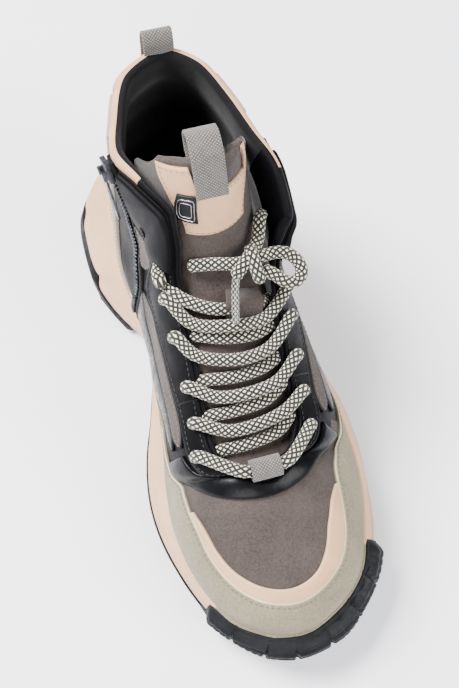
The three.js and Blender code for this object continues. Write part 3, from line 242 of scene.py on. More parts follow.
SCALE = np.array([LENGTH, BALL_WIDTH, INSTEP_HEIGHT])
BASE = both_sides(UPPER[:, [0, 1, 3]] * SCALE, UPPER[:, [0, 2, 3]] * SCALE)
TOP = both_sides(
    np.stack([UPPER[:, 4] * LENGTH, UPPER[:, 5] * BALL_WIDTH, level(UPPER[:, 7])], 1),
    np.stack([UPPER[:, 4] * LENGTH, UPPER[:, 6] * BALL_WIDTH, level(UPPER[:, 8])], 1),
)
ARRIVAL = both_sides(UPPER[:, [9, 10, 12]], UPPER[:, [9, 11, 12]] * [1, -1, 1])
HANDLES = both_sides(*[UPPER[:, 13:16] * [1, COLLAR_HEIGHT, COLLAR_HEIGHT]] * 2)
STATIONS = len(BASE)
SOLE_LINE = both_sides(SOLE[:, [0, 1, 3]] * SCALE, SOLE[:, [0, 2, 3]] * SCALE)


def face(station, height):
    """Point of the upper's outer face at a station round it and a height from 0 to 1."""
    u, v = np.broadcast_arrays(np.asarray(station, float), np.asarray(height, float))
    base, top, handles = smooth(BASE, u), steady(TOP, u), smooth(HANDLES, u)
    arrival = unit(smooth(ARRIVAL, u))
    d = smooth(BASE, u + 0.01) - smooth(BASE, u - 0.01)
    side = unit(np.stack([d[..., 1], -d[..., 0], 0 * d[..., 0]], -1))
    rise = unit(side * handles[..., :1] + np.array([0, 0, 1.0]))
    first, second = base + rise * handles[..., 1:2], top - arrival * handles[..., 2:3]
    v = v[..., None]
    return (1 - v) ** 3 * base + 3 * v * (1 - v) ** 2 * first + 3 * v * v * (1 - v) * second + v**3 * top


def normal(station, height):
    """Outward normal of the face."""
    step = 0.02
    v = np.minimum(height, 0.995)
    ahead = face(np.add(station, step), v) - face(np.subtract(station, step), v)
    up = face(station, np.minimum(v + step, 1)) - face(station, np.maximum(v - step, 0))
    return unit(np.cross(ahead, up))


# Soft troughs (-) and ridges (+) where the boot has flexed: two ends, width and depth.
# The last is the fuller side over the arch.
CREASES = [
    ((226, -30, 66), (226, 30, 68), 5.0, -0.7), ((214, -42, 58), (217, -14, 80), 4.0, -0.6),
    ((214, 44, 60), (219, 18, 79), 4.0, -0.6), ((236, -26, 64), (238, 26, 66), 7.0, 0.4),
    ((200, -46, 56), (206, -26, 78), 3.5, -0.5), ((200, 50, 58), (207, 30, 78), 3.5, -0.5),
    ((140, -38, 76), (120, -30, 112), 7.0, -0.9), ((128, -37, 72), (108, -33, 104), 6.0, 0.6),
    ((140, 42, 76), (118, 36, 108), 7.0, -0.9), ((62, -35, 96), (58, -34, 124), 8.0, -0.8),
    ((60, 32, 94), (54, 31, 122), 8.0, -0.8), ((30, 22, 98), (26, 12, 120), 7.0, -0.6),
    ((30, -24, 98), (26, -14, 120), 7.0, -0.6), ((252, -20, 62), (256, 8, 62), 9.0, -0.5),
    ((152, -38, 54), (92, -38, 62), 19.0, 3.4),
]


def relief(p):
    """Height of the creases at points of the upper."""
    total = np.zeros(p.shape[:-1])
    for start, end, width, depth in CREASES:
        a, b = np.array(start, float), np.array(end, float)
        t = np.clip(((p - a) @ (b - a)) / ((b - a) @ (b - a)), 0, 1)
        near = np.linalg.norm(p - a - t[..., None] * (b - a), axis=-1)
        total = total + depth * np.exp(-(near / width) ** 2)
    return total


def on_upper(station, height, lift):
    """Point at a lift over the upper's creased face."""
    p = face(station, height)
    return p + normal(station, height) * (np.asarray(lift) + relief(p))[..., None]


def tongue_frame(share):
    """The tongue's row of sizes at a share of its length, and its direction there."""
    lines = np.stack([
        TONGUE[:, 0] * LENGTH, level(TONGUE[:, 1]), TONGUE[:, 2] * BALL_WIDTH, TONGUE[:, 3] * BALL_WIDTH,
        np.radians(TONGUE[:, 4]), TONGUE[:, 5],
    ], 1)
    here = along(lines, share)
    ahead = along(lines, np.minimum(np.add(share, 0.01), 1))
    behind = along(lines, np.maximum(np.subtract(share, 0.01), 0))
    return here, unit((ahead - behind)[..., :2])


def on_tongue(share, across, lift):
    """Point at a lift over the tongue: share along it, across from -1 (inner) to 1."""
    share, across = np.broadcast_arrays(np.asarray(share, float), np.asarray(across, float))
    here, tangent = tongue_frame(share)
    angle = across * here[..., 4]
    thin = mix(1, 0.45, ease((np.abs(across) - 0.6) / 0.4))
    under = -np.asarray(lift) * thin
    y = (here[..., 2] - under) * np.sin(angle)
    sink = here[..., 3] - (here[..., 3] - under) * np.cos(angle)
    return np.stack([here[..., 0] - tangent[..., 1] * sink, y, here[..., 1] + tangent[..., 0] * sink], -1)


def ground(x):
    """Height of the sole's underside: toe spring, bevel of the heel and arch."""
    share = np.asarray(x) / LENGTH
    toe = np.clip((share - 0.865) / 0.135, 0, 1) ** 1.6 * TOE_SPRING
    heel = np.clip((0.07 - share) / 0.07, 0, 1) ** 1.5 * HEEL_BEVEL
    return toe + heel + ease((share - 0.33) / 0.10) * ease((0.575 - share) / 0.09) * ARCH_RISE


# Colours and materials
def srgb(r, g, b):
    values = [((c / 255 + 0.055) / 1.055) ** 2.4 if c > 10 else c / 255 / 12.92 for c in (r, g, b)]
    return (*values, 1.0)


class Finish:
    """A node material in the making."""

    def __init__(self, name, roughness, **sockets):
        self.material = bpy.data.materials.new(name)
        self.material.use_nodes = True
        self.tree = self.material.node_tree
        self.shader = self.tree.nodes["Principled BSDF"]
        self.shader.inputs["Roughness"].default_value = roughness
        for key, value in sockets.items():
            self.shader.inputs[key.replace("_", " ")].default_value = value
        self.coords = self.tree.nodes.new("ShaderNodeTexCoord")

    def link(self, a, b):
        self.tree.links.new(a, b)

    def node(self, kind, **values):
        n = self.tree.nodes.new(kind)
        for key, value in values.items():
            setattr(n, key, value)
        return n

    def noise(self, scale, detail=4.0, distortion=0.0, roughness=0.55):
        n = self.node("ShaderNodeTexNoise")
        n.inputs["Scale"].default_value = scale
        n.inputs["Detail"].default_value = detail
        n.inputs["Distortion"].default_value = distortion
        n.inputs["Roughness"].default_value = roughness
        self.link(self.coords.outputs["Object"], n.inputs["Vector"])
        return n.outputs["Fac"]

    def cells(self, scale, feature="F1"):
        n = self.node("ShaderNodeTexVoronoi", feature=feature)
        n.inputs["Scale"].default_value = scale
        self.link(self.coords.outputs["Object"], n.inputs["Vector"])
        return n.outputs["Distance"]

    def math(self, operation, a, b=0.0):
        n = self.node("ShaderNodeMath", operation=operation)
        for socket, value in zip(n.inputs, (a, b)):
            if isinstance(value, (int, float)):
                socket.default_value = value
            else:
                self.link(value, socket)
        return n.outputs[0]

    def ramp(self, factor, *stops):
        n = self.node("ShaderNodeValToRGB")
        elements = n.color_ramp.elements
        while len(elements) < len(stops):
            elements.new(0.5)
        for element, (place, colour) in zip(elements, stops):
            element.position = place
            element.color = colour if isinstance(colour, tuple) else (colour, colour, colour, 1)
        self.link(factor, n.inputs["Fac"])
        return n.outputs["Color"]

    def blend(self, factor, a, b):
        n = self.node("ShaderNodeMix", data_type="RGBA")
        for socket, value in ((n.inputs["Factor"], factor), (n.inputs[6], a), (n.inputs[7], b)):
            if isinstance(value, (int, float, tuple)):
                socket.default_value = value
            else:
                self.link(value, socket)
        return n.outputs[2]

    def colour(self, socket):
        self.link(socket, self.shader.inputs["Base Color"])

    def rough(self, socket):
        self.link(socket, self.shader.inputs["Roughness"])

    def bump(self, height, strength, distance, below=None):
        n = self.node("ShaderNodeBump")
        n.inputs["Strength"].default_value = strength
        n.inputs["Distance"].default_value = distance
        self.link(height, n.inputs["Height"])
        if below is not None:
            self.link(below, n.inputs["Normal"])
        self.link(n.outputs["Normal"], self.shader.inputs["Normal"])
        return n.outputs["Normal"]


def suede(name, light, dark, nap=1.0):
    """Suede with a soft mottled nap and a fine fibrous bump."""
    f = Finish(name, 0.93, Sheen_Weight=0.12, Sheen_Roughness=0.5, Specular_IOR_Level=0.18)
    cloud = f.noise(38, 5, 0.8)
    fine = f.noise(950, 4, 0.3)
    tone = f.ramp(cloud, (0.30, dark), (0.68, light))
    specks = f.ramp(fine, (0.34, tuple(0.62 * c for c in dark[:3]) + (1,)), (0.62, light))
    f.colour(f.blend(0.42 * nap, tone, specks))
    f.bump(f.noise(1300, 4, 0.2), 0.55 * nap, 0.0008, f.bump(f.noise(260, 3), 0.3 * nap, 0.0012))
    return f.material


def leather(name, light, dark, roughness, shine=0.3):
    """Smooth leather with a fine grain."""
    f = Finish(name, roughness, Specular_IOR_Level=shine)
    f.colour(f.ramp(f.noise(45, 4, 0.6), (0.32, dark), (0.66, light)))
    f.rough(f.ramp(f.noise(120, 3), (0.3, roughness - 0.06), (0.7, roughness + 0.08)))
    grain = f.cells(1350, "SMOOTH_F1")
    f.bump(grain, 0.16, 0.0004, f.bump(f.noise(300, 3), 0.12, 0.0006))
    return f.material


def patent():
    """Glossy black leather with grey marbling."""
    f = Finish("marbled_patent", 0.24, Coat_Weight=0.1, Coat_Roughness=0.12, Specular_IOR_Level=0.14)
    cloud = f.noise(95, 6, 1.6, roughness=0.68)
    f.colour(f.ramp(cloud, (0.42, srgb(7, 8, 10)), (0.57, srgb(16, 17, 20)), (0.66, srgb(58, 61, 64))))
    f.rough(f.ramp(cloud, (0.4, 0.16), (0.62, 0.5)))
    f.bump(f.noise(180, 3, 0.8), 0.35, 0.0010)
    return f.material


def gloss():
    """Glossy black leather of the band round the throat."""
    f = Finish("gloss_leather", 0.3, Specular_IOR_Level=0.12)
    f.colour(f.ramp(f.noise(60, 4, 0.8), (0.35, srgb(8, 8, 10)), (0.7, srgb(16, 16, 19))))
    f.bump(f.noise(160, 3, 0.5), 0.3, 0.0010)
    return f.material


def foam(name, light, dark):
    """Moulded foam with a faint skin and a little dirt low down."""
    f = Finish(name, 0.5, Coat_Weight=0.12, Coat_Roughness=0.45, Specular_IOR_Level=0.4)
    tone = f.ramp(f.noise(24, 4, 0.4), (0.3, dark), (0.65, light))
    split = f.node("ShaderNodeSeparateXYZ")
    f.link(f.coords.outputs["Object"], split.inputs["Vector"])
    low = f.ramp(split.outputs["Z"], (0.008, 0.5), (0.020, 0.0))
    dirt = f.math("MULTIPLY", low, f.ramp(f.noise(140, 5, 0.5), (0.42, 0.0), (0.68, 0.7)))
    f.colour(f.blend(dirt, tone, srgb(84, 68, 54)))
    f.bump(f.noise(900, 3), 0.10, 0.0004)
    return f.material


def rubber():
    """Matt black rubber."""
    f = Finish("black_rubber", 0.55, Specular_IOR_Level=0.16)
    f.colour(f.ramp(f.noise(70, 5, 0.5), (0.35, srgb(9, 10, 12)), (0.7, srgb(19, 20, 24))))
    f.rough(f.ramp(f.noise(200, 3), (0.3, 0.42), (0.7, 0.68)))
    f.bump(f.noise(1100, 3), 0.25, 0.0005)
    return f.material


def lattice(f, columns, pitch):
    """Two slanting families of strands from the UV map: the share of each strand's width."""
    uv = f.node("ShaderNodeSeparateXYZ")
    f.link(f.coords.outputs["UV"], uv.inputs["Vector"])
    u, v = f.math("MULTIPLY", uv.outputs["X"], columns), f.math("MULTIPLY", uv.outputs["Y"], 1 / pitch)
    sides = []
    for operation in ("ADD", "SUBTRACT"):
        inside = f.math("FRACT", f.math(operation, u, v))
        sides.append(f.math("ABSOLUTE", f.math("SUBTRACT", inside, 0.5)))
    return f.math("MAXIMUM", *sides)


def rope_finish():
    """Black braid with cream diamonds. U goes once round the lace and V is its length in millimetres."""
    f = Finish("rope_lace", 0.85, Sheen_Weight=0.2)
    edge = lattice(f, 7, 3.3)
    worn = f.math("ADD", edge, f.math("MULTIPLY", f.math("SUBTRACT", f.noise(700, 3), 0.5), 0.10))
    mask = f.ramp(worn, (0.215, 1.0), (0.27, 0.0))
    cream = f.ramp(f.noise(260, 3), (0.3, srgb(214, 206, 170)), (0.7, srgb(242, 235, 204)))
    f.colour(f.blend(mask, srgb(9, 9, 10), cream))
    f.bump(f.noise(2600, 2), 0.25, 0.0003, f.bump(f.ramp(edge, (0.2, 1.0), (0.46, 0.0)), 0.8, 0.0006))
    return f.material


def webbing_finish():
    """Woven tape with rows of small dots. U and V are millimetres."""
    f = Finish("webbing", 0.88, Sheen_Weight=0.25)
    edge = lattice(f, 1 / 1.7, 1.5)
    dots = f.ramp(edge, (0.16, 1.0), (0.30, 0.0))
    base = f.ramp(f.noise(300, 3), (0.3, srgb(62, 58, 55)), (0.7, srgb(80, 76, 71)))
    f.colour(f.blend(dots, base, srgb(132, 128, 121)))
    f.bump(f.noise(2400, 2), 0.3, 0.0003, f.bump(f.ramp(edge, (0.15, 1.0), (0.42, 0.0)), 0.7, 0.0005))
    return f.material


def lining_finish():
    """Black knitted lining."""
    f = Finish("black_lining", 0.95, Sheen_Weight=0.06, Specular_IOR_Level=0.15)
    f.colour(f.ramp(f.noise(60, 4), (0.3, srgb(8, 8, 10)), (0.7, srgb(16, 16, 19))))
    f.bump(f.cells(1500), 0.35, 0.0005, f.bump(f.noise(90, 3), 0.25, 0.0015))
    return f.material


def metal_finish(name, light, dark, roughness):
    f = Finish(name, roughness, Metallic=1.0)
    f.colour(f.ramp(f.noise(220, 4, 0.6), (0.35, dark), (0.7, light)))
    f.rough(f.ramp(f.noise(500, 3), (0.3, roughness - 0.06), (0.7, roughness + 0.12)))
    return f.material


def thread_finish(name, colour):
    f = Finish(name, 0.7)
    f.colour(f.ramp(f.noise(1500, 2), (0.3, tuple(c * 0.8 for c in colour[:3]) + (1,)), (0.7, colour)))
    return f.material


def sleeve_finish():
    """Clear sleeve shrunk over the end of the lace."""
    f = Finish("lace_sleeve", 0.22, Coat_Weight=0.8, Coat_Roughness=0.1)
    edge = lattice(f, 6, 2.6)
    f.colour(f.blend(f.ramp(edge, (0.26, 1.0), (0.36, 0.0)), srgb(20, 20, 19), srgb(150, 148, 132)))
    f.bump(f.noise(500, 2), 0.1, 0.0004)
    return f.material


GREIGE = suede("greige_suede", srgb(142, 132, 108), srgb(112, 103, 83))
TAUPE = suede("taupe_suede", srgb(75, 66, 62), srgb(53, 46, 43))
SAND = suede("grey_suede", srgb(176, 167, 146), srgb(150, 141, 122), 0.8)
PEACH = leather("peach_leather", srgb(206, 162, 124), srgb(188, 146, 110), 0.5)
BLACK = leather("black_leather", srgb(12, 11, 14), srgb(6, 6, 8), 0.5, shine=0.06)
QUARTER_LEATHER = leather("quarter_leather", srgb(28, 28, 32), srgb(18, 18, 21), 0.5, shine=0.16)
PIPING = leather("black_piping", srgb(11, 10, 12), srgb(7, 7, 8), 0.45, shine=0.14)
CUT_EDGE = leather("cut_edge", srgb(206, 190, 160), srgb(180, 164, 136), 0.7)
PATENT = patent()
GLOSS = gloss()
FOAM = foam("midsole_foam", srgb(208, 166, 130), srgb(192, 150, 114))
RUBBER = rubber()
ROPE = rope_finish()
WEBBING = webbing_finish()
LINING = lining_finish()
METAL = metal_finish("zip_metal", srgb(120, 122, 126), srgb(70, 72, 76), 0.34)
DARK_METAL = metal_finish("teeth_metal", srgb(84, 86, 90), srgb(40, 42, 46), 0.38)
SILVER = metal_finish("badge_silver", srgb(176, 176, 180), srgb(130, 130, 136), 0.3)
SLEEVE = sleeve_finish()
BLACK_THREAD = thread_finish("black_thread", srgb(20, 19, 22))
PALE_THREAD = thread_finish("pale_thread", srgb(150, 128, 106))
GREY_THREAD = thread_finish("grey_thread", srgb(96, 88, 74))


# Meshes
def metres(points):
    return (np.asarray(points, float) - [HEEL_CENTRE, 0, 0]) * 0.001


def volume_of(points, faces):
    total = 0.0
    for f in faces:
        for k in range(1, f.shape[1] - 1):
            a, b, c = points[f[:, 0]], points[f[:, k]], points[f[:, k + 1]]
            total += (a * np.cross(b, c)).sum() / 6
    return total


def piece(name, points, faces, materials, replaces=(), uv=None, kinds=None):
    """Mesh object from points in millimetres and arrays of faces, facing out, riding on the boot."""
    points = metres(points)
    materials = materials if isinstance(materials, list) else [materials]
    faces = [np.asarray(f) for f in (faces if isinstance(faces, list) else [faces])]
    if volume_of(points, faces) < 0:
        faces = [f[:, ::-1] for f in faces]
    data = bpy.data.meshes.new(name)
    data.from_pydata(points.tolist(), [], [f for block in faces for f in block.tolist()])
    for m in materials:
        data.materials.append(m)
    if kinds is not None:
        data.polygons.foreach_set("material_index", np.asarray(kinds, np.int32))
    if uv is not None:
        layer = data.uv_layers.new(name="UVMap")
        corner = np.zeros(len(data.loops), np.int32)
        data.loops.foreach_get("vertex_index", corner)
        layer.data.foreach_set("uv", np.asarray(uv, np.float32)[corner].ravel())
    data.polygons.foreach_set("use_smooth", np.ones(len(data.polygons), bool))
    data.update()
    o = bpy.data.objects.new(name, data)
    bpy.context.scene.collection.objects.link(o)
    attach(o, "boot")
    if replaces:
        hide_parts(*([replaces] if isinstance(replaces, str) else replaces))
    return o


def grid_faces(columns, rows, first=0, closed=False):
    """Quads of a grid whose points go along each row of columns in turn."""
    i = np.arange(columns if closed else columns - 1)
    j = np.arange(rows - 1)[:, None]
    a, b = j * columns + i, j * columns + (i + 1) % columns
    return (np.stack([a, b, b + columns, a + columns], -1).reshape(-1, 4) + first)


def lengths(line):
    return np.concatenate([[0], np.cumsum(np.linalg.norm(np.diff(line, axis=0), axis=1))])


RIM_INSET = np.array([0, .18, .5, 1.0])
RIM_RISE = np.array([.50, .80, .96, 1.0])


def insets(width, count):
    """Places across a width in millimetres, as shares, close together at both rims."""
    near = np.minimum(RIM_INSET, width * np.array([0, .1, .2, .3])) / width
    inner = np.linspace(near[-1], 1 - near[-1], count)[1:-1]
    return np.concatenate([near, inner, 1 - near[::-1]])


def patch_grid(at, place, steps, count):
    """Shares (s, t) of a patch's grid, evenly rimmed, and each point's share of the full lift."""
    t = np.linspace(0, 1, 9)
    rows = np.linspace(0, 1, 25)
    measure = np.stack([at(*place(s + 0 * t, t), 0 * t) for s in rows])
    widths = np.linalg.norm(np.diff(measure, axis=1), axis=2).sum(1)
    long = np.linalg.norm(np.diff(measure[:, 4], axis=0), axis=1).sum()
    s = insets(long, steps)
    t_grid = np.stack([insets(max(np.interp(x, rows, widths), 0.8), count) for x in s])
    s_grid = np.repeat(s[:, None], t_grid.shape[1], 1)
    rise = np.ones(len(s)), np.ones(t_grid.shape[1])
    for values in rise:
        values[:4] = RIM_RISE
        values[-4:] = RIM_RISE[::-1]
    return s_grid, t_grid, np.minimum(rise[0][:, None], rise[1][None, :])


def slab(
    name, at, place, steps, count, high, material, replaces=(), low=UNDER, swell=None, sheet=False, back=None,
):
    """Closed panel with rounded rims over a patch: place(s, t) gives where, at(a, b, lift) the point."""
    s, t, rise = patch_grid(at, place, steps, count)
    a, b = place(s, t)
    foot_lift = low(s, t) if callable(low) else np.full(s.shape, float(low))
    lift = foot_lift + (high - foot_lift) * rise
    if swell is not None:
        more = swell(s, t)
        lift = lift + (more if sheet else more * (rise >= 1))
        foot_lift = foot_lift + (more if sheet else 0)
    top, foot = at(a, b, lift), at(a, b, foot_lift)
    rows, columns = s.shape
    points = np.concatenate([top.reshape(-1, 3), foot.reshape(-1, 3)])
    n = rows * columns
    upper = grid_faces(columns, rows)
    ring = np.concatenate([
        np.arange(columns), np.arange(1, rows) * columns + columns - 1,
        (rows - 1) * columns + np.arange(columns - 2, -1, -1), np.arange(rows - 2, 0, -1) * columns,
    ])
    nxt = np.roll(ring, -1)
    walls = np.stack([ring, ring + n, nxt + n, nxt], 1)
    kinds = None if back is None else np.repeat([0, 1, 0], [len(upper), len(upper), len(walls)])
    materials = material if back is None else [material, back]
    piece(name, points, [upper, upper[:, ::-1] + n, walls], materials, replaces, kinds=kinds)


CAP_ANGLES = (30, 60, 84)      # rings of a tube's rounded end
CAP_LENGTH = 0.6               # of its radius


def tube(line, diameter, sides=16):
    """Points, faces and UVs of a round tube through a fine line, with rounded ends."""
    line = np.asarray(line, float)
    tangent = unit(np.gradient(line, axis=0))
    side = np.cross(tangent[0], [0, 0, 1.0])
    side = unit(side if np.linalg.norm(side) > 0.1 else np.cross(tangent[0], [0, 1.0, 0]))
    frames = []
    for t in tangent:
        side = unit(side - t * (side @ t))
        frames.append((side, np.cross(t, side)))
    far = lengths(line)
    radius = diameter / 2
    rings = [(line[i], frames[i], radius, far[i]) for i in range(len(line))]
    for end, sign in ((0, -1), (-1, 1)):
        caps = []
        for angle in np.radians(CAP_ANGLES):
            reach = sign * radius * CAP_LENGTH * math.sin(angle)
            centre = line[end] + tangent[end] * reach
            caps.append((centre, frames[end], radius * math.cos(angle), far[end] + reach))
        rings = caps[::-1] + rings if end == 0 else rings + caps
    angles = np.linspace(0, 2 * math.pi, sides + 1)
    points, uv = [], []
    for centre, (x, y), r, v in rings:
        points.append(centre + r * (np.cos(angles)[:, None] * x + np.sin(angles)[:, None] * y))
        uv.append(np.stack([angles / (2 * math.pi), np.full(sides + 1, v)], 1))
    points, uv = np.concatenate(points), np.concatenate(uv)
    faces = grid_faces(sides + 1, len(rings))
    last = len(points) - sides - 1
    caps = np.array([np.arange(sides)[::-1], last + np.arange(sides)])
    return points, [faces, caps], uv


def curve(stops, spacing=0.8):
    """Fine smooth line through stops, which doesn't loop where they are uneven."""
    stops = np.asarray(stops, float)
    gaps = np.linalg.norm(np.diff(stops, axis=0), axis=1) ** 0.5
    knots = np.concatenate([[0], np.cumsum(gaps)])
    ends = np.vstack([2 * stops[0] - stops[1], stops, 2 * stops[-1] - stops[-2]])
    k = np.concatenate([[-gaps[0]], knots, [knots[-1] + gaps[-1]]])
    out = []
    for i in range(len(stops) - 1):
        p0, p1, p2, p3 = ends[i:i + 4]
        t0, t1, t2, t3 = k[i:i + 4]
        count = max(2, int(np.linalg.norm(p2 - p1) / spacing))
        t = np.linspace(t1, t2, count, endpoint=False)[:, None]
        a1 = (t1 - t) / (t1 - t0) * p0 + (t - t0) / (t1 - t0) * p1
        a2 = (t2 - t) / (t2 - t1) * p1 + (t - t1) / (t2 - t1) * p2
        a3 = (t3 - t) / (t3 - t2) * p2 + (t - t2) / (t3 - t2) * p3
        b1 = (t2 - t) / (t2 - t0) * a1 + (t - t0) / (t2 - t0) * a2
        b2 = (t3 - t) / (t3 - t1) * a2 + (t - t1) / (t3 - t1) * a3
        out.append((t2 - t) / (t2 - t1) * b1 + (t - t1) / (t2 - t1) * b2)
    return np.vstack([*out, stops[-1:]])


def gather(parts):
    """Several (points, faces, uv) as one."""
    points, blocks, uvs, count = [], [], [], 0
    for p, faces, uv in parts:
        points.append(p)
        blocks += [f + count for f in faces]
        uvs.append(uv)
        count += len(p)
    return np.concatenate(points), blocks, np.concatenate(uvs)


def rope(name, lines, replaces=(), diameter=LACE, material=ROPE):
    points, faces, uv = gather([tube(line, diameter) for line in lines])
    return piece(name, points, faces, material, replaces, uv=uv)


# Camera
def make_camera():
    look, right, up = (np.array(v) for v in (LOOK, RIGHT, UP))
    across, down = AIM[0] - PHOTO_CENTRE[0], AIM[1] - PHOTO_CENTRE[1]
    aim = unit(look + right * across / FOCAL - up * down / FOCAL)
    side = unit(right - aim * (right @ aim))
    rise = np.cross(side, aim)
    data = bpy.data.cameras.new("camera")
    data.sensor_width = SENSOR
    data.lens = FOCAL / PHOTO_HEIGHT * SENSOR * ZOOM
    data.clip_start, data.clip_end = 0.02, 20
    o = bpy.data.objects.new("camera", data)
    axes = Matrix((side, rise, -aim)).transposed().to_4x4()
    o.matrix_world = Matrix.Translation(Vector(CAMERA) * 0.001) @ axes
    bpy.context.scene.collection.objects.link(o)
    bpy.context.scene.camera = o


make_camera()

# Free ends of the lace: the inner run, the bow's loop, the outer run and its sleeved end
BOW = [
    [132.5, -12.0, 129.0], [134.0, -7.0, 130.6], [135.6, -1.0, 131.6], [137.6, 6.4, 131.8],
    [138.6, 12.0, 132.6], [137.6, 18.0, 132.2], [136.4, 23.6, 130.8], [136.2, 29.0, 130.2],
    [138.0, 34.5, 128.8], [142.6, 37.8, 127.0], [147.4, 37.8, 125.2], [150.4, 34.0, 124.6],
    [149.6, 29.0, 125.8], [146.2, 24.9, 127.8], [143.4, 20.8, 129.2],
]
END = [
    [113.5, 27.5, 128.0], [117.0, 25.6, 131.0], [121.5, 23.9, 132.2], [127.4, 21.6, 131.9],
    [132.7, 18.5, 132.6], [137.2, 14.4, 134.6], [141.0, 10.4, 134.4], [144.0, 6.6, 132.6],
]
SLEEVED = [[144.0, 6.6, 132.6], [149.6, 4.5, 128.9], [155.8, 3.1, 124.2], [161.8, 1.8, 119.8]]
WRAP = [
    [145.5, 17.5, 127.0], [146.4, 16.8, 131.0], [143.6, 16.0, 134.6], [138.8, 15.8, 136.0],
    [134.0, 16.2, 133.8], [132.8, 16.8, 129.6],
]


def free_lace(name, stops, replaces):
    line = curve(stops)
    o = rope(name, [line], replaces)


knot = rope("lace_knot_wrap", [curve(WRAP)], "lace_knot")
sleeve = rope("lace_sleeved_end", [curve(SLEEVED)], "lace_tip", TIP, SLEEVE)
free_lace("lace_bow", BOW, ("lace_run_inner", "lace_loop"))
free_lace("lace_end", END, ("lace_run_outer",))

# Upper: outer skin, rolled rim of the collar and the throat, lining
FINE = 14                      # columns for each station
THROAT_ROW = 5                 # in front of it the two sides of the vamp meet
HEEL = 17                      # station at the back
COLLAR_PAD = (4.5, 1.5)        # stations from the heel where padding ends, and over which it fades
FLAP_PAD = (7.4, 1.2)
OUTER_PAD = 2.4                # more padding beside the tongue on the outer side
PAD_FROM, PAD_FADE = 0.68, 0.2
FOLD = 0.5                     # depth of the lining's soft folds
# Border of the taupe vamp: share down from the throat, station
VAMP_BORDER = np.array([[0, 4.3], [.21, 4.6], [.37, 5.2], [.465, 5.85], [.515, 6.45], [.66, 6.3]])
VAMP, SIDES, BACK, ROLL, INSIDE = range(5)


def signed(station):
    return (np.asarray(station) + HEEL) % STATIONS - HEEL


def wall(station, height):
    """Thickness of the upper, padding included."""
    far = HEEL - np.abs(signed(station))
    collar, flap = (ease((end - far) / fade) for end, fade in (COLLAR_PAD, FLAP_PAD))
    soft = OUTER_PAD * ease((far - 3.4) / 1.2) * ease((7.6 - far) / 1.6) * (signed(station) > 0)
    padding = mix(flap * (FLAP_WALL - WALL), PADDING - WALL, collar) + soft
    return WALL + padding * ease((height - PAD_FROM) / PAD_FADE)


def weld(points, faces):
    """One vertex for points that coincide, and the faces left with three corners or more."""
    keys, index = np.unique(np.round(points, 2), axis=0, return_inverse=True)
    index = index.reshape(-1)
    first = np.zeros(len(keys), int)
    first[index[::-1]] = np.arange(len(points))[::-1]
    out, kept = [], []
    for k, f in enumerate(index[faces].tolist()):
        g = [c for i, c in enumerate(f) if c != f[i - 1]]
        if len(set(g)) == len(g) > 2:
            out.append(g)
            kept.append(k)
    return points[first], out, np.array(kept)


def make_upper():
    """One skin: up the outer face, over the rolled rim and down the lining, closed at the foot."""
    columns = STATIONS * FINE
    u = np.arange(columns) / FINE
    row = np.abs(signed(u))
    v_out = np.concatenate([np.linspace(0, 0.95, 42), [0.968, 0.985, 0.993, 1.0]])
    outer = on_upper(u[None, :], v_out[:, None], 0.0)
    outer[-1, row <= THROAT_ROW, 1] = 0
    rim, top = outer[-1], normal(u, 1.0)
    inward = rim - top * wall(u, 1.0)[:, None]
    inward[row <= THROAT_ROW, 1] = 0
    rise = unit(face(u, 1.0) - face(u, 0.98))
    bulge = (wall(u, 1.0) / 2 * ease((row - THROAT_ROW) / 0.6))[:, None]
    arc = [
        rim + (inward - rim) * (1 - math.cos(a)) / 2 + rise * bulge * math.sin(a)
        for a in np.linspace(0, math.pi, 9)[1:-1]
    ]
    v_in = np.linspace(1.0, 0.0, 26)[:, None]
    folds = FOLD * np.sin(v_in * 26 + u[None, :] * 0.9) * ease((1 - v_in) / 0.2)
    lining = face(u[None, :], v_in) - normal(u[None, :], v_in) * (wall(u[None, :], v_in) + folds)[..., None]
    lining[0] = inward
    rows = np.concatenate([outer, np.stack(arc), lining])
    ring, foot = np.arange(columns), (len(rows) - 1) * columns
    after = np.roll(ring, -1)
    faces = np.concatenate([
        grid_faces(columns, len(rows), closed=True), np.stack([foot + ring, foot + after, after, ring], 1),
    ])
    at_row, at_column = np.divmod(faces[:, 0], columns)
    side = signed((at_column + 0.5) / FINE)
    station = np.abs(side)
    rim_first, rim_last = len(outer) - 1, len(outer) + len(arc)
    in_rim = (at_row >= rim_first) & (at_row < rim_last)
    height = np.where(at_row < rim_first, v_out[np.minimum(at_row, rim_first)] + 0.01, 1.0)
    kinds = np.where(station < np.interp(1 - height, *VAMP_BORDER.T), VAMP, SIDES)
    kinds[(station > 15.1) & (height > 0.5)] = BACK
    kinds[(station > 13) & (height > 0.99)] = ROLL
    past_roll = at_row >= rim_first + len(arc) // 2 + 1
    kinds[past_roll] = INSIDE
    kinds[past_roll & (side > 9.4) & (station < 13.6) & (at_row < rim_last + 6)] = SIDES
    kinds[in_rim & ~past_roll] = np.where(station > 13, ROLL, SIDES)[in_rim & ~past_roll]
    keep = ~(in_rim & (station < THROAT_ROW))
    points, cells, kept = weld(rows.reshape(-1, 3), faces[keep])
    piece("upper_shell", points, [np.array([c]) for c in cells], [TAUPE, BLACK, SAND, PEACH, LINING], "upper",
          kinds=kinds[keep][kept])


make_upper()


# Panels on the upper
def span(table, mirror=1):
    def place(s, t):
        station, low, high = np.moveaxis(along(table, s), -1, 0)
        return mirror * station, mix(low, high, t)
    return place


def strap_place(mirror):
    def place(s, t):
        front, low, rear, high = np.moveaxis(along(STRAP, s), -1, 0)
        return mirror * mix(front, rear, t), mix(low, high, t)
    return place


def band_place(s, t):
    front, front_side, rear, rear_side = np.moveaxis(along(BAND, s), -1, 0)
    return mix(front, rear, t), mix(front_side, rear_side, t)


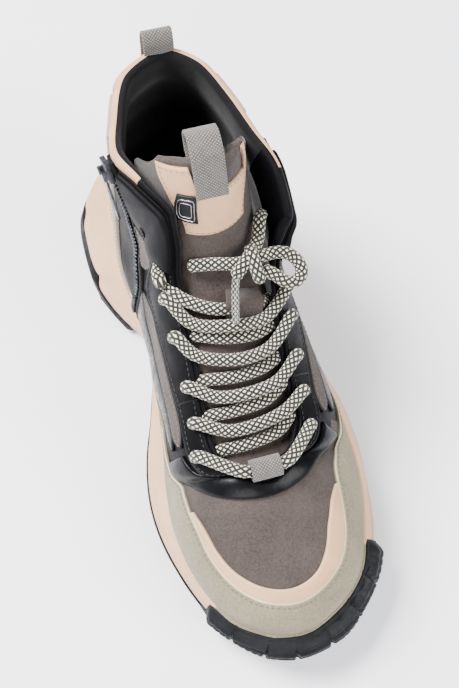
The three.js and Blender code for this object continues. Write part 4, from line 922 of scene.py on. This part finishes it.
def on_vamp(row, side, lift):
    return on_upper(np.where(side < 0, -row, row), 1 - np.abs(side), lift)


def puff(table, start, amount):
    """Padding of a panel past a station."""
    def swell(s, t):
        station = np.abs(along(table, s)[..., 0])
        return amount * ease((station - start) / 0.9) * np.sin(math.pi * t) ** 0.7
    return swell


def low_puff(amount):
    return lambda s, t: amount * np.sin(math.pi * t) ** 0.6 * np.sin(math.pi * s) ** 0.3


STAYS = (EYESTAY_IN, EYESTAY_OUT)
PUFF = (11.0, 2.0)             # station where the eyestays' padding starts, and its height
slab("mudguard", on_upper, span(MUDGUARD), 150, 20, OVERLAY, GREIGE, "toe_mudguard")
slab("trim", on_upper, span(TOE_TRIM), 90, 12, OVERLAY, PEACH, "toe_trim")
slab("band", on_vamp, band_place, 90, 10, OVERLAY, GLOSS, "vamp_band", swell=low_puff(0.7))
for side, table in zip(("inner", "outer"), STAYS):
    slab("stay_" + side, on_upper, span(table), 110, 16, OVERLAY, BLACK, "eyestay_" + side,
         swell=puff(table, *PUFF))
for side, mirror in (("inner", 1), ("outer", -1)):
    slab("stripe_" + side, on_upper, span(STRIPE, mirror), 60, 14, OVERLAY, TAUPE, "side_stripe_" + side)
    slab("insert_" + side, on_upper, span(INSERT, mirror), 60, 14, OVERLAY - 0.5, PATENT,
         "side_insert_" + side, swell=low_puff(0.5))
    slab("strap_" + side, on_upper, strap_place(mirror), 90, 12, OVERLAY + 0.2, SAND, "ankle_strap_" + side)
slab("leaf_inner", on_upper, span(LEAF), 40, 8, OVERLAY, TAUPE, "side_leaf_inner")
slab("leaf_outer", on_upper, span(LEAF, -1), 40, 8, OVERLAY, TAUPE)
slab("quarter", on_upper, span(QUARTER), 110, 16, OVERLAY, QUARTER_LEATHER, "heel_quarter")
slab("counter", on_upper, span(COUNTER), 60, 12, OVERLAY + 1.2, FOAM, "heel_counter")
slab("collar_panel", on_upper, span(COLLAR_BACK), 60, 12, OVERLAY, PEACH, "collar_back")


# Edges, seams and stitches
SEAM = OVERLAY + 0.05          # lift of a stitch


def edge(table, high, inset, mirror=1, lift=SEAM, part=(0.0, 1.0)):
    """Fine line beside a panel's lower or upper edge with its normals. The inset is in millimetres."""
    s = np.linspace(*part, 260)
    station, a, b = np.moveaxis(along(table, s), -1, 0)
    station = station * mirror
    width = np.linalg.norm(face(station, b) - face(station, a), axis=-1)
    share = np.minimum(inset / np.maximum(width, 0.01), 0.45)
    height = mix(b, a, share) if high else mix(a, b, share)
    return on_upper(station, height, lift), normal(station, height)


def line_on(at, stops, lift, count=120):
    """Fine line over a surface through stops of its two places, with its normals."""
    fine = along(np.array(stops, float), np.linspace(0, 1, count))
    p = at(fine[:, 0], fine[:, 1], np.full(count, float(lift)))
    q = at(fine[:, 0], fine[:, 1], np.full(count, float(lift) + 1))
    return p, unit(q - p)


def resample(line, normals, pitch):
    far = lengths(line)
    where = np.arange(pitch / 2, far[-1], pitch)
    at, out, ahead = (
        np.stack([np.interp(where, far, values[:, k]) for k in range(3)], 1)
        for values in (line, normals, np.gradient(line, axis=0))
    )
    return at, unit(out), unit(ahead)


def squared(x, power):
    """Sine or cosine of a squared circle."""
    return np.sign(x) * np.abs(x) ** power


def beads(centres, along_dirs, outs, size, columns=6, square=0.7):
    """Small rounded solids: a size along, across and out for each."""
    shape = []
    for a in np.radians([-40, 0, 40]):
        for b in np.linspace(0, 2 * math.pi, columns, endpoint=False):
            waves = math.sin(a), math.cos(a), math.cos(b), math.sin(b)
            end, girth, y, z = (squared(wave, square) for wave in waves)
            shape.append([end, girth * y, girth * z])
    shape = np.array(shape + [[-1, 0, 0], [1, 0, 0]]) * np.array(size) / 2
    quads = grid_faces(columns, 3, closed=True)
    ring = np.arange(columns)
    after = np.roll(ring, -1)
    low = np.stack([np.full(columns, 3 * columns), after, ring], 1)
    high = np.stack([np.full(columns, 3 * columns + 1), 2 * columns + ring, 2 * columns + after], 1)
    sides = np.cross(outs, along_dirs)
    axes = np.stack([along_dirs, sides, outs], 1)
    points = centres[:, None, :] + shape[None] @ axes
    base = (np.arange(len(centres)) * len(shape))[:, None, None]
    return points.reshape(-1, 3), [(f[None] + base).reshape(-1, f.shape[1]) for f in (quads, low, high)]


STITCH_PITCH = 2.7
STITCH = (1.9, 0.62, 0.5)


def stitches(name, lines, material):
    runs = [resample(line, normals, STITCH_PITCH) for line, normals in lines]
    centres, outs, dirs = (np.concatenate([r[k] for r in runs]) for k in range(3))
    points, faces = beads(centres, dirs, outs, STITCH)
    piece(name, points, faces, material)


def piping(name, lines, diameter, material=PIPING):
    points, faces, uv = gather([tube(line, diameter, 8) for line in lines])
    piece(name, points, faces, material, uv=uv)


EDGES = (False, True)          # lower and upper
BOTH = (1, -1)                 # a table's own side and its mirror image
piping("stripe_piping", [
    edge(t, high, 0.0, m, 0.9)[0] for t in (STRIPE, LEAF) for high in EDGES for m in BOTH
] + [edge(INSERT, high, 0.0, m, 0.7)[0] for high in EDGES for m in BOTH], 1.5)
piping("stay_piping", [edge(t, False, 0.0, 1, 1.0)[0] for t in STAYS], 1.6)
piping("mudguard_edge", [edge(MUDGUARD, True, 0.3, 1, 1.15, (.08, .92))[0]], 0.9, CUT_EDGE)
piping("trim_edges", [edge(TOE_TRIM, high, 0.2, 1, 1.25)[0] for high in EDGES], 0.8, CUT_EDGE)
# Padded flaps that lap over the eyestays, and the seam across each eyestay
FLAP = np.array([
    [10.35, .955, .985], [10.55, .88, .985], [10.8, .79, .985], [11.15, .72, .985], [11.7, .70, .985],
    [12.55, .71, .985], [13.15, .80, .985], [13.5, .93, .985],
])
for name, mirror in (("flap_inner", -1), ("flap_outer", 1)):
    slab(name, on_upper, span(FLAP, mirror), 90, 18, OVERLAY + 2.0, BLACK, low=1.0, swell=low_puff(1.6))
piping("flap_piping", [edge(FLAP, False, 0.0, m, 2.2)[0] for m in BOTH], 1.5)
stitches("flap_stitches", [edge(FLAP, False, 2.4, m, OVERLAY + 2.5) for m in BOTH], BLACK_THREAD)
piping("stay_seams", [
    line_on(on_upper, [(m * 7.78, .735), (m * 7.8, .86), (m * 7.78, .98)], OVERLAY + 0.1)[0] for m in BOTH
], 0.9)
stitches("grey_stitches", [
    edge(MUDGUARD, True, 2.2, part=(.06, .94)), *[edge(STRIPE, high, 2.0, m) for m in BOTH for high in EDGES],
    *[edge(LEAF, high, 1.8) for high in EDGES],
], GREY_THREAD)
stitches("black_stitches", [
    *[edge(t, False, 2.2) for t in STAYS], *[edge(t, True, 2.2, part=(.04, .70)) for t in STAYS],
    *[edge(QUARTER, True, inset) for inset in (2.0, 4.4)],
], BLACK_THREAD)
stitches("pale_stitches", [edge(COLLAR_BACK, False, 2.0)], PALE_THREAD)


def strap_edge(mirror, t, lift):
    s = np.linspace(0.02, 0.98, 160)
    station, height = strap_place(mirror)(s, np.full(s.shape, t))
    return on_upper(station, height, lift), normal(station, height)


stitches("strap_stitches", [
    strap_edge(m, t, OVERLAY + 0.25) for m in BOTH for t in (0.10, 0.90)
], GREY_THREAD)


# Zip
def zip_frames(share):
    """Centre, outward, downward and crosswise direction of the zip."""
    share = np.atleast_1d(np.asarray(share, float))
    station, height = np.moveaxis(along(ZIP, share), -1, 0)
    centre, out = on_upper(station, height, 0.0), normal(station, height)
    a, b = along(ZIP, np.minimum(share + 0.02, 1)), along(ZIP, np.maximum(share - 0.02, 0))
    down = face(a[..., 0], a[..., 1]) - face(b[..., 0], b[..., 1])
    down = unit(down - out * (down * out).sum(-1, keepdims=True))
    return centre, out, down, np.cross(out, down)


def on_zip(share, across, lift):
    share, across, lift = np.broadcast_arrays(share, across, lift)
    centre, out, down, side = (a.reshape(*share.shape, 3) for a in zip_frames(share.ravel()))
    return centre + side * across[..., None] + out * lift[..., None]


ZIP_HALF = 4.5                 # half the tape's width
ZIP_SEAM = 3.6                 # its seams, from the middle
TEETH = 76
TOOTH = (3.5, 1.05, 1.7)
TOOTH_STAGGER = 0.55


def make_teeth():
    centre, out, _, across = zip_frames(np.linspace(0.15, 0.94, TEETH))
    stagger = np.where(np.arange(TEETH) % 2, TOOTH_STAGGER, -TOOTH_STAGGER)[:, None]
    points, faces = beads(centre + across * stagger + out * (OVERLAY + 0.7), across, out, TOOTH, 8, 0.5)
    piece("zip_tooth_row", points, faces, DARK_METAL, "zip_teeth")


slab("zip_tape_cloth", on_zip, lambda s, t: (s, mix(-ZIP_HALF, ZIP_HALF, t)), 90, 10, OVERLAY, LINING,
     "zip_tape")
make_teeth()
stitches("zip_stitches", [
    line_on(on_zip, [(0.02, w), (0.5, w), (0.97, w)], SEAM, 200) for w in (-ZIP_SEAM, ZIP_SEAM)
], BLACK_THREAD)


# Tongue, label, badge and keeper
def tongue_low(s, t):
    return -tongue_frame(s)[0][..., 5]


def tongue_swell(s, t):
    return 1.1 * ease(s / 0.1) * ease((1 - s) / 0.06) * np.sin(math.pi * t) ** 0.5


slab("tongue_body", on_tongue, lambda s, t: (s, mix(-1, 1, t)), 150, 26, 0.0, TAUPE, "tongue",
     low=tongue_low, swell=tongue_swell, back=LINING)
LABEL_FOOT, LABEL_HEAD = 0.665, 0.985       # shares of the tongue
LABEL_DIP = 0.110              # how far its top edge dips under the pull loop
LABEL_TOP = 2.3                # its lift
LABEL_SEAM = LABEL_TOP + 0.05


def label_place(s, t):
    """The label widens upwards to the tongue's edges."""
    dip = LABEL_DIP * (1 - ease((np.abs(s - 0.63) - 0.19) / 0.12))
    share = mix(LABEL_FOOT, LABEL_HEAD - dip, t)
    return share, mix(mix(-0.34, 0.50, s), mix(-0.96, 0.96, s), t ** 2.2)


def rows_of(place, s, t):
    """Stops of a line over a panel."""
    s, t = np.broadcast_arrays(np.asarray(s, float), np.asarray(t, float))
    return np.stack(place(s, t), 1)


slab("label_leather", on_tongue, label_place, 80, 40, LABEL_TOP, PEACH, "tongue_label", low=0.6)
stitches("label_stitches", [
    *[line_on(on_tongue, rows_of(label_place, s, np.linspace(.04, .96, 12)), LABEL_SEAM)
      for s in (.045, .955)],
    line_on(on_tongue, rows_of(label_place, np.linspace(.05, .95, 9), 0.045), LABEL_SEAM),
    line_on(on_tongue, rows_of(label_place, np.linspace(.05, .95, 40), 0.955), LABEL_SEAM),
], PALE_THREAD)

BADGE_SHARE, BADGE_ACROSS = (0.735, 0.870), (-0.405, -0.165)
BADGE_TOP = 3.6                # its lift


def badge_place(s, t):
    return mix(*BADGE_SHARE, s), mix(*BADGE_ACROSS, t)


def badge_ring(inset):
    """Rounded square on the badge, in shares of its sides."""
    a = np.linspace(0, 2 * math.pi, 73)
    s, t = (0.5 + (0.5 - inset) * squared(wave, 0.35) for wave in (np.cos(a), np.sin(a)))
    return on_tongue(*badge_place(s, t), np.full(a.shape, BADGE_TOP + 0.05))


slab("badge_plain", on_tongue, badge_place, 26, 18, BADGE_TOP, RUBBER, "label_badge", low=2.0)
piping("badge_rim", [badge_ring(0.12)], 0.45, SILVER)
piping("badge_inner_rim", [badge_ring(0.24)], 0.4, SILVER)

# Keeper: share of the tongue, left and right end; it arches over the lace
KEEPER = np.array([[.400, -.05, .47], [.425, -.03, .50], [.450, .01, .55], [.475, .05, .60]])


def keeper_place(s, t):
    share, left, right = np.moveaxis(along(KEEPER, s), -1, 0)
    return share - 0.02 * t, mix(left, right, t)


KEEPER_ARCH = 6.2
slab("keeper_strap", on_tongue, keeper_place, 60, 16, 2.2, TAUPE, "lace_keeper", low=1.0,
     swell=lambda s, t: KEEPER_ARCH * np.sin(math.pi * s) ** 0.8, sheet=True)


# Webbing
WEB = 15.0                     # its width


def web_strip(name, path, centre, replaces, thick=1.6):
    """Tape along a path in the plane of X and Z."""
    flat = curve([(x, 0, z) for x, z in path], 0.7)
    tangent = unit(np.gradient(flat, axis=0))
    out = np.stack([tangent[:, 2], 0 * tangent[:, 0], -tangent[:, 0]], 1)
    far = lengths(flat)
    w, h = WEB / 2, thick / 2
    flat_part = np.linspace(-w + 1, w - 1, 9)
    upper = [(-w + .3, h), *[(y, h) for y in flat_part], (w - .3, h)]
    section = [(-w, 0), *upper, (w, 0), *[(y, -z) for y, z in upper[::-1]]]
    points = np.stack([flat + out * z + np.array([0, centre + y, 0]) for y, z in section], 1)
    uv = np.stack([np.stack([np.full(len(flat), y), far], 1) for y, z in section], 1)
    count = len(section)
    faces = grid_faces(count, len(flat), closed=True)
    last = (len(flat) - 1) * count
    caps = np.array([np.arange(count), last + np.arange(count)[::-1]])
    piece(name, points.reshape(-1, 3), [faces, caps], WEBBING, replaces, uv=uv.reshape(-1, 2))


def web_path(centre, out, stops):
    """Points of X and Z from stops out and up, in widths of the webbing."""
    return [(centre[0] + (a * out[0] - u * out[1]) * WEB, centre[1] + (a * out[1] + u * out[0]) * WEB)
            for a, u in stops]


top_row, top_tangent = tongue_frame(1.0)
AHEAD, BEHIND = 1.9 / WEB, 9.0 / WEB         # where the tongue loop's two legs are sewn on
web_strip("tongue_loop_tape", web_path((top_row[0], top_row[1]), (top_tangent[1], -top_tangent[0]), [
    (AHEAD + .06, -1.15), (AHEAD + .04, -.667), (AHEAD + .02, -.133), (.107, .267), (-.333, .70), (-.80, .60),
    (-.86, .133), (-BEHIND, -.333),
]), 1, "tongue_pull_loop")
back = face(HEEL, 1)
OUTSIDE = 4.3 / WEB            # the heel loop's outer leg, behind the upper
web_strip("heel_loop_tape", web_path((back[0], back[2]), (1, 0), [
    (-OUTSIDE - .02, -.9), (-OUTSIDE - .02, -.5), (-OUTSIDE - .03, -.067), (-OUTSIDE - .02, .50), (-.02, .84),
    (.26, .52), (.27, -.05), (.25, -.40),
]), -1, "heel_pull_loop")
RING = np.array([225.0, 0, 90.0])
RING_RADIUS = 4.6
turn = np.linspace(0, 2 * math.pi, 33)
web_strip("throat_ring", [
    (RING[0] + RING_RADIUS * math.cos(a), RING[2] + RING_RADIUS * math.sin(a)) for a in turn
], 0, "throat_loop", 1.5)


# Laces through the holes
def through(hole, inward, spare=0.0):
    """Stops of a lace that comes up out of a hole and turns to the throat."""
    station, height = hole
    ahead = mix(height, inward, 0.55)
    return [on_upper(station, height, -2.0), on_upper(station, height, 2.2),
            on_upper(station, ahead, 4.4 + spare), on_upper(station, inward, 6.2 + spare)]


def picks(stops):
    return [on_tongue(share, across, lift) for share, across, lift in stops]


def crossing(row, stops):
    start, end = through(EYELETS_IN[row], 0.985), through(EYELETS_OUT[row], 0.985)
    return curve([*start[:3], *picks(stops), *end[:3][::-1]])


# Crossings over the eyestays: eyelet row and stops (share of the tongue, across, lift)
OVER = [
    (1, [(.209, -.39, 7.6), (.208, .05, 8.4), (.222, .55, 7.8)]),
    (2, [(.275, -.43, 7.8), (.269, .04, 8.6), (.277, .51, 7.8)]),
    (3, [(.353, -.57, 7.6), (.332, -.02, 8.8), (.337, .49, 7.6)]),
    (4, [(.413, -.51, 7.8), (.393, -.03, 8.6), (.389, .52, 7.4)]),
]
# Crossings under them, from side to side
UNDER_LACES = [
    [(.150, -1.1, 1.5), (.161, -.81, 3.0), (.163, -.14, 3.6), (.178, .42, 3.4), (.205, .74, 3.0),
     (.215, 1.1, 1.5)],
    [(.240, -1.05, 1.5), (.243, -.67, 3.2), (.243, -.2, 3.8), (.249, .31, 3.6), (.272, .76, 3.2),
     (.282, 1.1, 1.5)],
    [(.304, -1.0, 1.5), (.306, -.57, 3.4), (.301, -.07, 3.8), (.305, .35, 3.6), (.319, .83, 3.2),
     (.33, 1.15, 1.5)],
    [(.389, -.95, 1.5), (.383, -.51, 3.4), (.370, -.12, 3.6), (.364, .33, 3.6), (.372, .80, 3.4),
     (.378, 1.1, 1.5)],
]
LAST_RUN = [
    (.520, -.80, 10.2), (.482, -.58, 8.6), (.44, -.25, 6.2), (.426, .01, 4.8), (.419, .44, 4.0),
    (.417, 1.0, 2.0),
]
rope("lace_front_bar", [curve([
    *through(EYELETS_IN[0], 0.94)[:3], RING - [1, 12, -1.5], RING - [0, 6, 0], RING, RING + [0, 6, 0],
    RING + [-1, 12, 1.5], *through(EYELETS_OUT[0], 0.95)[:3][::-1],
])], "lace_bar")
from_flap = [on_upper(-10.95, .82, 0.5), on_upper(-10.55, .84, 3.6), on_upper(-10.2, .90, 5.0)]
rope("lace_rows", [
    *[crossing(row, stops) for row, stops in OVER], *[curve(picks(stops)) for stops in UNDER_LACES],
    curve([*from_flap, *picks(LAST_RUN)]),
], "lace_crossings")


# Punched holes
def hole_rings(holes, radius, lift):
    """Circles round holes of the upper."""
    lines = []
    for station, height in holes:
        c, n = on_upper(station, height, lift), normal(station, height)
        x = unit(np.cross(n, [0, 0, 1.0]))
        y = np.cross(n, x)
        a = np.linspace(0, 2 * math.pi, 25)[:, None]
        lines.append(c + radius * (np.cos(a) * x + np.sin(a) * y))
    return lines


def make_hole_depths():
    """Dark discs in the empty top holes."""
    outs = np.array([normal(*hole) for hole in TOP_HOLES])
    centres = np.array([on_upper(*hole, FLAP_TOP) for hole in TOP_HOLES])
    points, faces = beads(centres, unit(np.cross(outs, [0, 0, 1.0])), outs, (4.2, 4.2, 0.5), 12, 1.0)
    piece("top_hole_depth", points, faces, LINING)


FLAP_TOP = OVERLAY + 3.4       # lift of the padded flaps at their holes
piping("hole_edges", hole_rings(EYELETS_IN + EYELETS_OUT, 3.3, OVERLAY), 0.9)
piping("top_hole_edges", hole_rings(TOP_HOLES, 2.2, FLAP_TOP), 0.8)
make_hole_depths()


# Midsole
def outline_normal(row):
    d = smooth(SOLE_LINE, row + 0.05) - smooth(SOLE_LINE, row - 0.05)
    return unit(np.stack([d[..., 1], -d[..., 0], 0 * d[..., 0]], -1))


def height_at(station, z):
    """Height on the upper's face where it reaches a level z, by halving."""
    low, high = np.zeros(station.shape), np.full(station.shape, 0.8)
    for _ in range(14):
        middle = (low + high) / 2
        below = face(station, middle)[..., 2] < z
        low, high = np.where(below, middle, low), np.where(below, high, middle)
    return (low + high) / 2


SOLE_STEPS = 1.5               # points of the rim's lines for each station


def rim_lines():
    """Line of the midsole's rim round the upper, and the line inside it under the upper's face."""
    rows = np.arange(int(STATIONS * SOLE_STEPS)) / SOLE_STEPS
    outline = smooth(SOLE_LINE, rows)
    near = rows[:, None] + np.arange(-24, 25) * 0.2
    height = height_at(near, outline[:, 2:3])
    out = normal(near, height)
    points = face(near, height) + out * LIP
    best = np.linalg.norm(points[..., :2] - outline[:, None, :2], axis=-1).argmin(1)
    at = np.arange(len(best)), best
    rim = points[at]
    rim[:, 2] = outline[:, 2]
    return rim, rim - out[at] * (LIP + 0.8)


def soft_side():
    """Level, reach and ribs of the midsole's side with its corners rounded."""
    fine = np.linspace(0, 1, 101)
    kernel = np.hanning(7) / np.hanning(7).sum()
    columns = [np.pad(np.interp(fine, SIDE[:, 0], SIDE[:, k]), 3, "edge") for k in (1, 2)]
    return fine, *[np.convolve(column, kernel, "valid") for column in columns]


RIM_LINE, FACE_LINE = rim_lines()
SIDE_LEVEL, SIDE_REACH, SIDE_RIBS = soft_side()
RIB_DEPTH = 1.25


def side_point(row, share, push=0.0):
    """Point of the midsole's side at a row of the outline and a share of its height."""
    p, out = smooth(SOLE_LINE, row), outline_normal(row)
    rim = smooth(RIM_LINE, row * SOLE_STEPS)
    reach, ribs = (np.interp(share, SIDE_LEVEL, values) for values in (SIDE_REACH, SIDE_RIBS))
    z = mix(OUTSOLE + GAP + ground(p[..., 0]), rim[..., 2], share)
    q = np.stack([mix(p[..., 0], rim[..., 0], reach), mix(p[..., 1], rim[..., 1], reach), z], -1)
    return q + out * (ribs * RIB_DEPTH + push)[..., None]


def under_face(row, like):
    """Line inside the rim at the height of another line."""
    inner = smooth(FACE_LINE, row * SOLE_STEPS)
    inner[:, 2] = like[:, 2]
    return inner


def folds(row, share):
    """Sculpted slanting grooves of the midsole's side."""
    r = np.abs(signed(row))
    slant = np.sin((r * 1.55 + share * 3.2) * math.pi / 1.6)
    deep = ease((r - 8.2) / 1.2) * ease((15.6 - r) / 1.2)
    return -1.3 * deep * np.clip(slant, 0, 1) ** 3 * np.sin(math.pi * np.clip(share, 0, 1)) ** 0.6


LIP_ROUND = 0.9                # rise of the rim's rounded lip
SIDE_ROWS = 54
UNDER_COLUMNS = 9


def make_midsole():
    """Side and rounded lip all round, and the underside from one side to the other."""
    columns = STATIONS * FINE
    row = np.arange(columns) / FINE
    share = np.linspace(0, 1, SIDE_ROWS)[:, None]
    whole = (SIDE_ROWS, columns)
    side = side_point(np.broadcast_to(row, whole), np.broadcast_to(share, whole), folds(row[None, :], share))
    inner = under_face(row, side[-1])
    lip = [
        mix(side[-1], inner, t) + np.array([0, 0, LIP_ROUND * math.sin(math.pi * min(t * 1.3, 1))])
        for t in (0.12, 0.3, 0.5, 0.75, 1.0)
    ]
    rows = np.concatenate([side, np.stack(lip)])
    half = STATIONS // 2 * FINE + 1
    outer, other = side[0, :half], side[0][-np.arange(half) % columns]
    under = mix(outer[:, None], other[:, None], np.linspace(0, 1, UNDER_COLUMNS)[None, :, None])
    points, cells, _ = weld(
        np.concatenate([rows.reshape(-1, 3), under.reshape(-1, 3)]),
        np.concatenate([
            grid_faces(columns, len(rows), closed=True), grid_faces(UNDER_COLUMNS, half, len(rows) * columns),
        ]),
    )
    piece("midsole_side", points, [np.array([c]) for c in cells], FOAM, "midsole")


make_midsole()


def closed_strip(name, rows, material):
    """Solid whose section goes round from the first row to the last, with flat ends."""
    count, columns = rows.shape[:2]
    first, last = np.arange(columns - 1), (count - 1) * columns
    closing = np.stack([last + first, last + first + 1, first + 1, first], 1)
    start = np.arange(count)[None, :] * columns
    faces = [grid_faces(columns, count), closing, start, start[:, ::-1] + columns - 1]
    piece(name, rows.reshape(-1, 3), faces, material)


def sole_base(row, share, drop):
    """Grid on the midsole's side and its outward direction; below the side it goes straight down."""
    row, share = np.broadcast_arrays(row, share)
    base = side_point(row, np.clip(share, 0, 1))
    base[..., 2] += np.minimum(share, 0) * drop
    return base, outline_normal(row)


# Toe bumper: seven blocks with fine ribs, smoother in the middle
BUMPER_ROWS = (-3.05, 3.55)
BUMPER = 4.7                   # its thickness
BLOCKS = 7
BLOCK_RIBS = 5
SLIT_DEPTH, RIB_HEIGHT = 1.5, 0.45
BUMPER_BACK = 2.5              # how far it reaches into the midsole
BUMPER_LIP = 1.5
# Strip of the mudguard down to the bumper: share from the bumper to the upper, share of the lip's height
MUDGUARD_FOOT = [
    (.28, -.6), (.28, .5), (.32, .85), (.45, 1.1), (.7, 1.5), (1.0, 2.2), (1.08, 2.2), (1.08, -.6),
]


def make_bumper():
    s = np.linspace(0, 1, 420)[None, :]
    share = np.concatenate([[-.18, -.10], np.linspace(0, 0.9, 20), [0.95, 0.985, 1.0]])[:, None]
    base, out = sole_base(mix(*BUMPER_ROWS, s), share, 30)
    place = s * BLOCKS
    slit = 1 - ease(np.abs(place - np.round(place)) / 0.09)
    middle = ease((np.abs(s - 0.47) - 0.12) / 0.04)
    ribs = np.abs(np.sin(place * BLOCK_RIBS * math.pi)) ** 0.6 * middle * (share > 0.1)
    ends = ease(s / 0.035) * ease((1 - s) / 0.035)
    top = 1 - 0.8 * ease((share - 0.86) / 0.14) ** 2
    body = (BUMPER - SLIT_DEPTH * slit + RIB_HEIGHT * ribs) * top
    points = base + out * (body * (0.25 + 0.75 * ends))[..., None]
    inner = under_face(mix(*BUMPER_ROWS, s[0]), base[-1])
    rise = np.array([0, 0, BUMPER_LIP]) * ends[0][:, None]

    def across(stops):
        return np.stack([mix(points[-1], inner, t) + rise * high for t, high in stops])

    foot = across(MUDGUARD_FOOT)
    piece("mudguard_foot", foot.reshape(-1, 3), grid_faces(foot.shape[1], len(foot)), GREIGE)
    lip = across([(0.15, 0.7), (0.32, 0.2)])
    closed_strip("toe_bumper", np.concatenate([points, lip, base[::-1] - out[::-1] * BUMPER_BACK]), RUBBER)


make_bumper()

# Rubber that rises beside the heel and the ball: row of the outline, level it reaches
HEEL_WRAP = np.array([
    [-16.2, .06], [-15.4, .26], [-14.4, .46], [-13.4, .50], [-12.4, .42], [-11.6, .20], [-11.1, .03],
])
BALL_WRAP = np.array([
    [-8.8, .03], [-8.5, .20], [-7.4, .28], [-6.2, .28], [-5.0, .27], [-4.0, .24], [-3.0, .22],
])
WRAP_LIFT = 1.2
WRAP_BACK = 1.5                # how far it reaches into the midsole


def rubber_wrap(name, table):
    s = np.linspace(0, 1, 220)[None, :]
    t = np.linspace(0, 1, 14)[:, None]
    row, reach = np.moveaxis(along(table, s[0]), -1, 0)
    base, out = sole_base(row, mix(-0.12, 1.0, t) * np.maximum(reach, 0.02)[None, :], 60)
    bulge = WRAP_LIFT * ease(s / 0.06) * ease((1 - s) / 0.06) * (1 - ease((t - 0.8) / 0.2) ** 2 * 0.8)
    points = base + out * (0.15 + bulge)[..., None]
    closed_strip(name, np.concatenate([points, base[::-1] - out[::-1] * WRAP_BACK]), RUBBER)


rubber_wrap("heel_rubber_wrap", HEEL_WRAP)
rubber_wrap("ball_rubber_wrap", BALL_WRAP)

# CAD pieces that show as they are: finish and width of the soft edge
CAD_LOOK = {
    "outsole_forefoot": (RUBBER, 0.35), "outsole_heel": (RUBBER, 0.35), "insole": (LINING, 0.3),
    "zip_slider": (METAL, 0.4), "zip_pull_tab": (METAL, 0.25),
}
for name, (material, width) in CAD_LOOK.items():
    o = bpy.data.objects[name]
    o.data.materials.clear()
    o.data.materials.append(material)
    bevel = o.modifiers.new("soft_edges", "BEVEL")
    bevel.width = width * 0.001
    bevel.segments = 2
    bevel.limit_method = "ANGLE"
    bevel.angle_limit = math.radians(28)

# Floor and light
def make_floor():
    f = Finish("pale_floor", 0.75)
    f.colour(f.ramp(f.noise(6, 3), (0.3, srgb(242, 242, 248)), (0.7, srgb(247, 247, 251))))
    f.bump(f.noise(300, 3), 0.05, 0.0005)
    bpy.ops.mesh.primitive_plane_add(size=6, location=(0.1, 0, 0))
    floor = bpy.context.object
    floor.name = "floor"
    floor.data.materials.append(f.material)


AIMED_AT = Vector((0.1, 0, 0.06))


def area(name, place, size, power):
    data = bpy.data.lights.new(name, "AREA")
    data.size = size
    data.energy = power
    o = bpy.data.objects.new(name, data)
    o.location = place
    o.rotation_euler = (AIMED_AT - Vector(place)).to_track_quat("-Z", "Y").to_euler()
    bpy.context.scene.collection.objects.link(o)


make_floor()
area("key", (-0.5, -0.8, 1.5), 0.7, 118)
area("fill", (0.9, 0.9, 1.2), 1.0, 40)
area("front", (1.2, -0.6, 0.8), 0.8, 18)
world = bpy.data.worlds.new("world")
world.use_nodes = True
sky = world.node_tree.nodes["Background"]
sky.inputs["Color"].default_value = (0.88, 0.92, 1.0, 1)
sky.inputs["Strength"].default_value = 0.38
bpy.context.scene.world = world
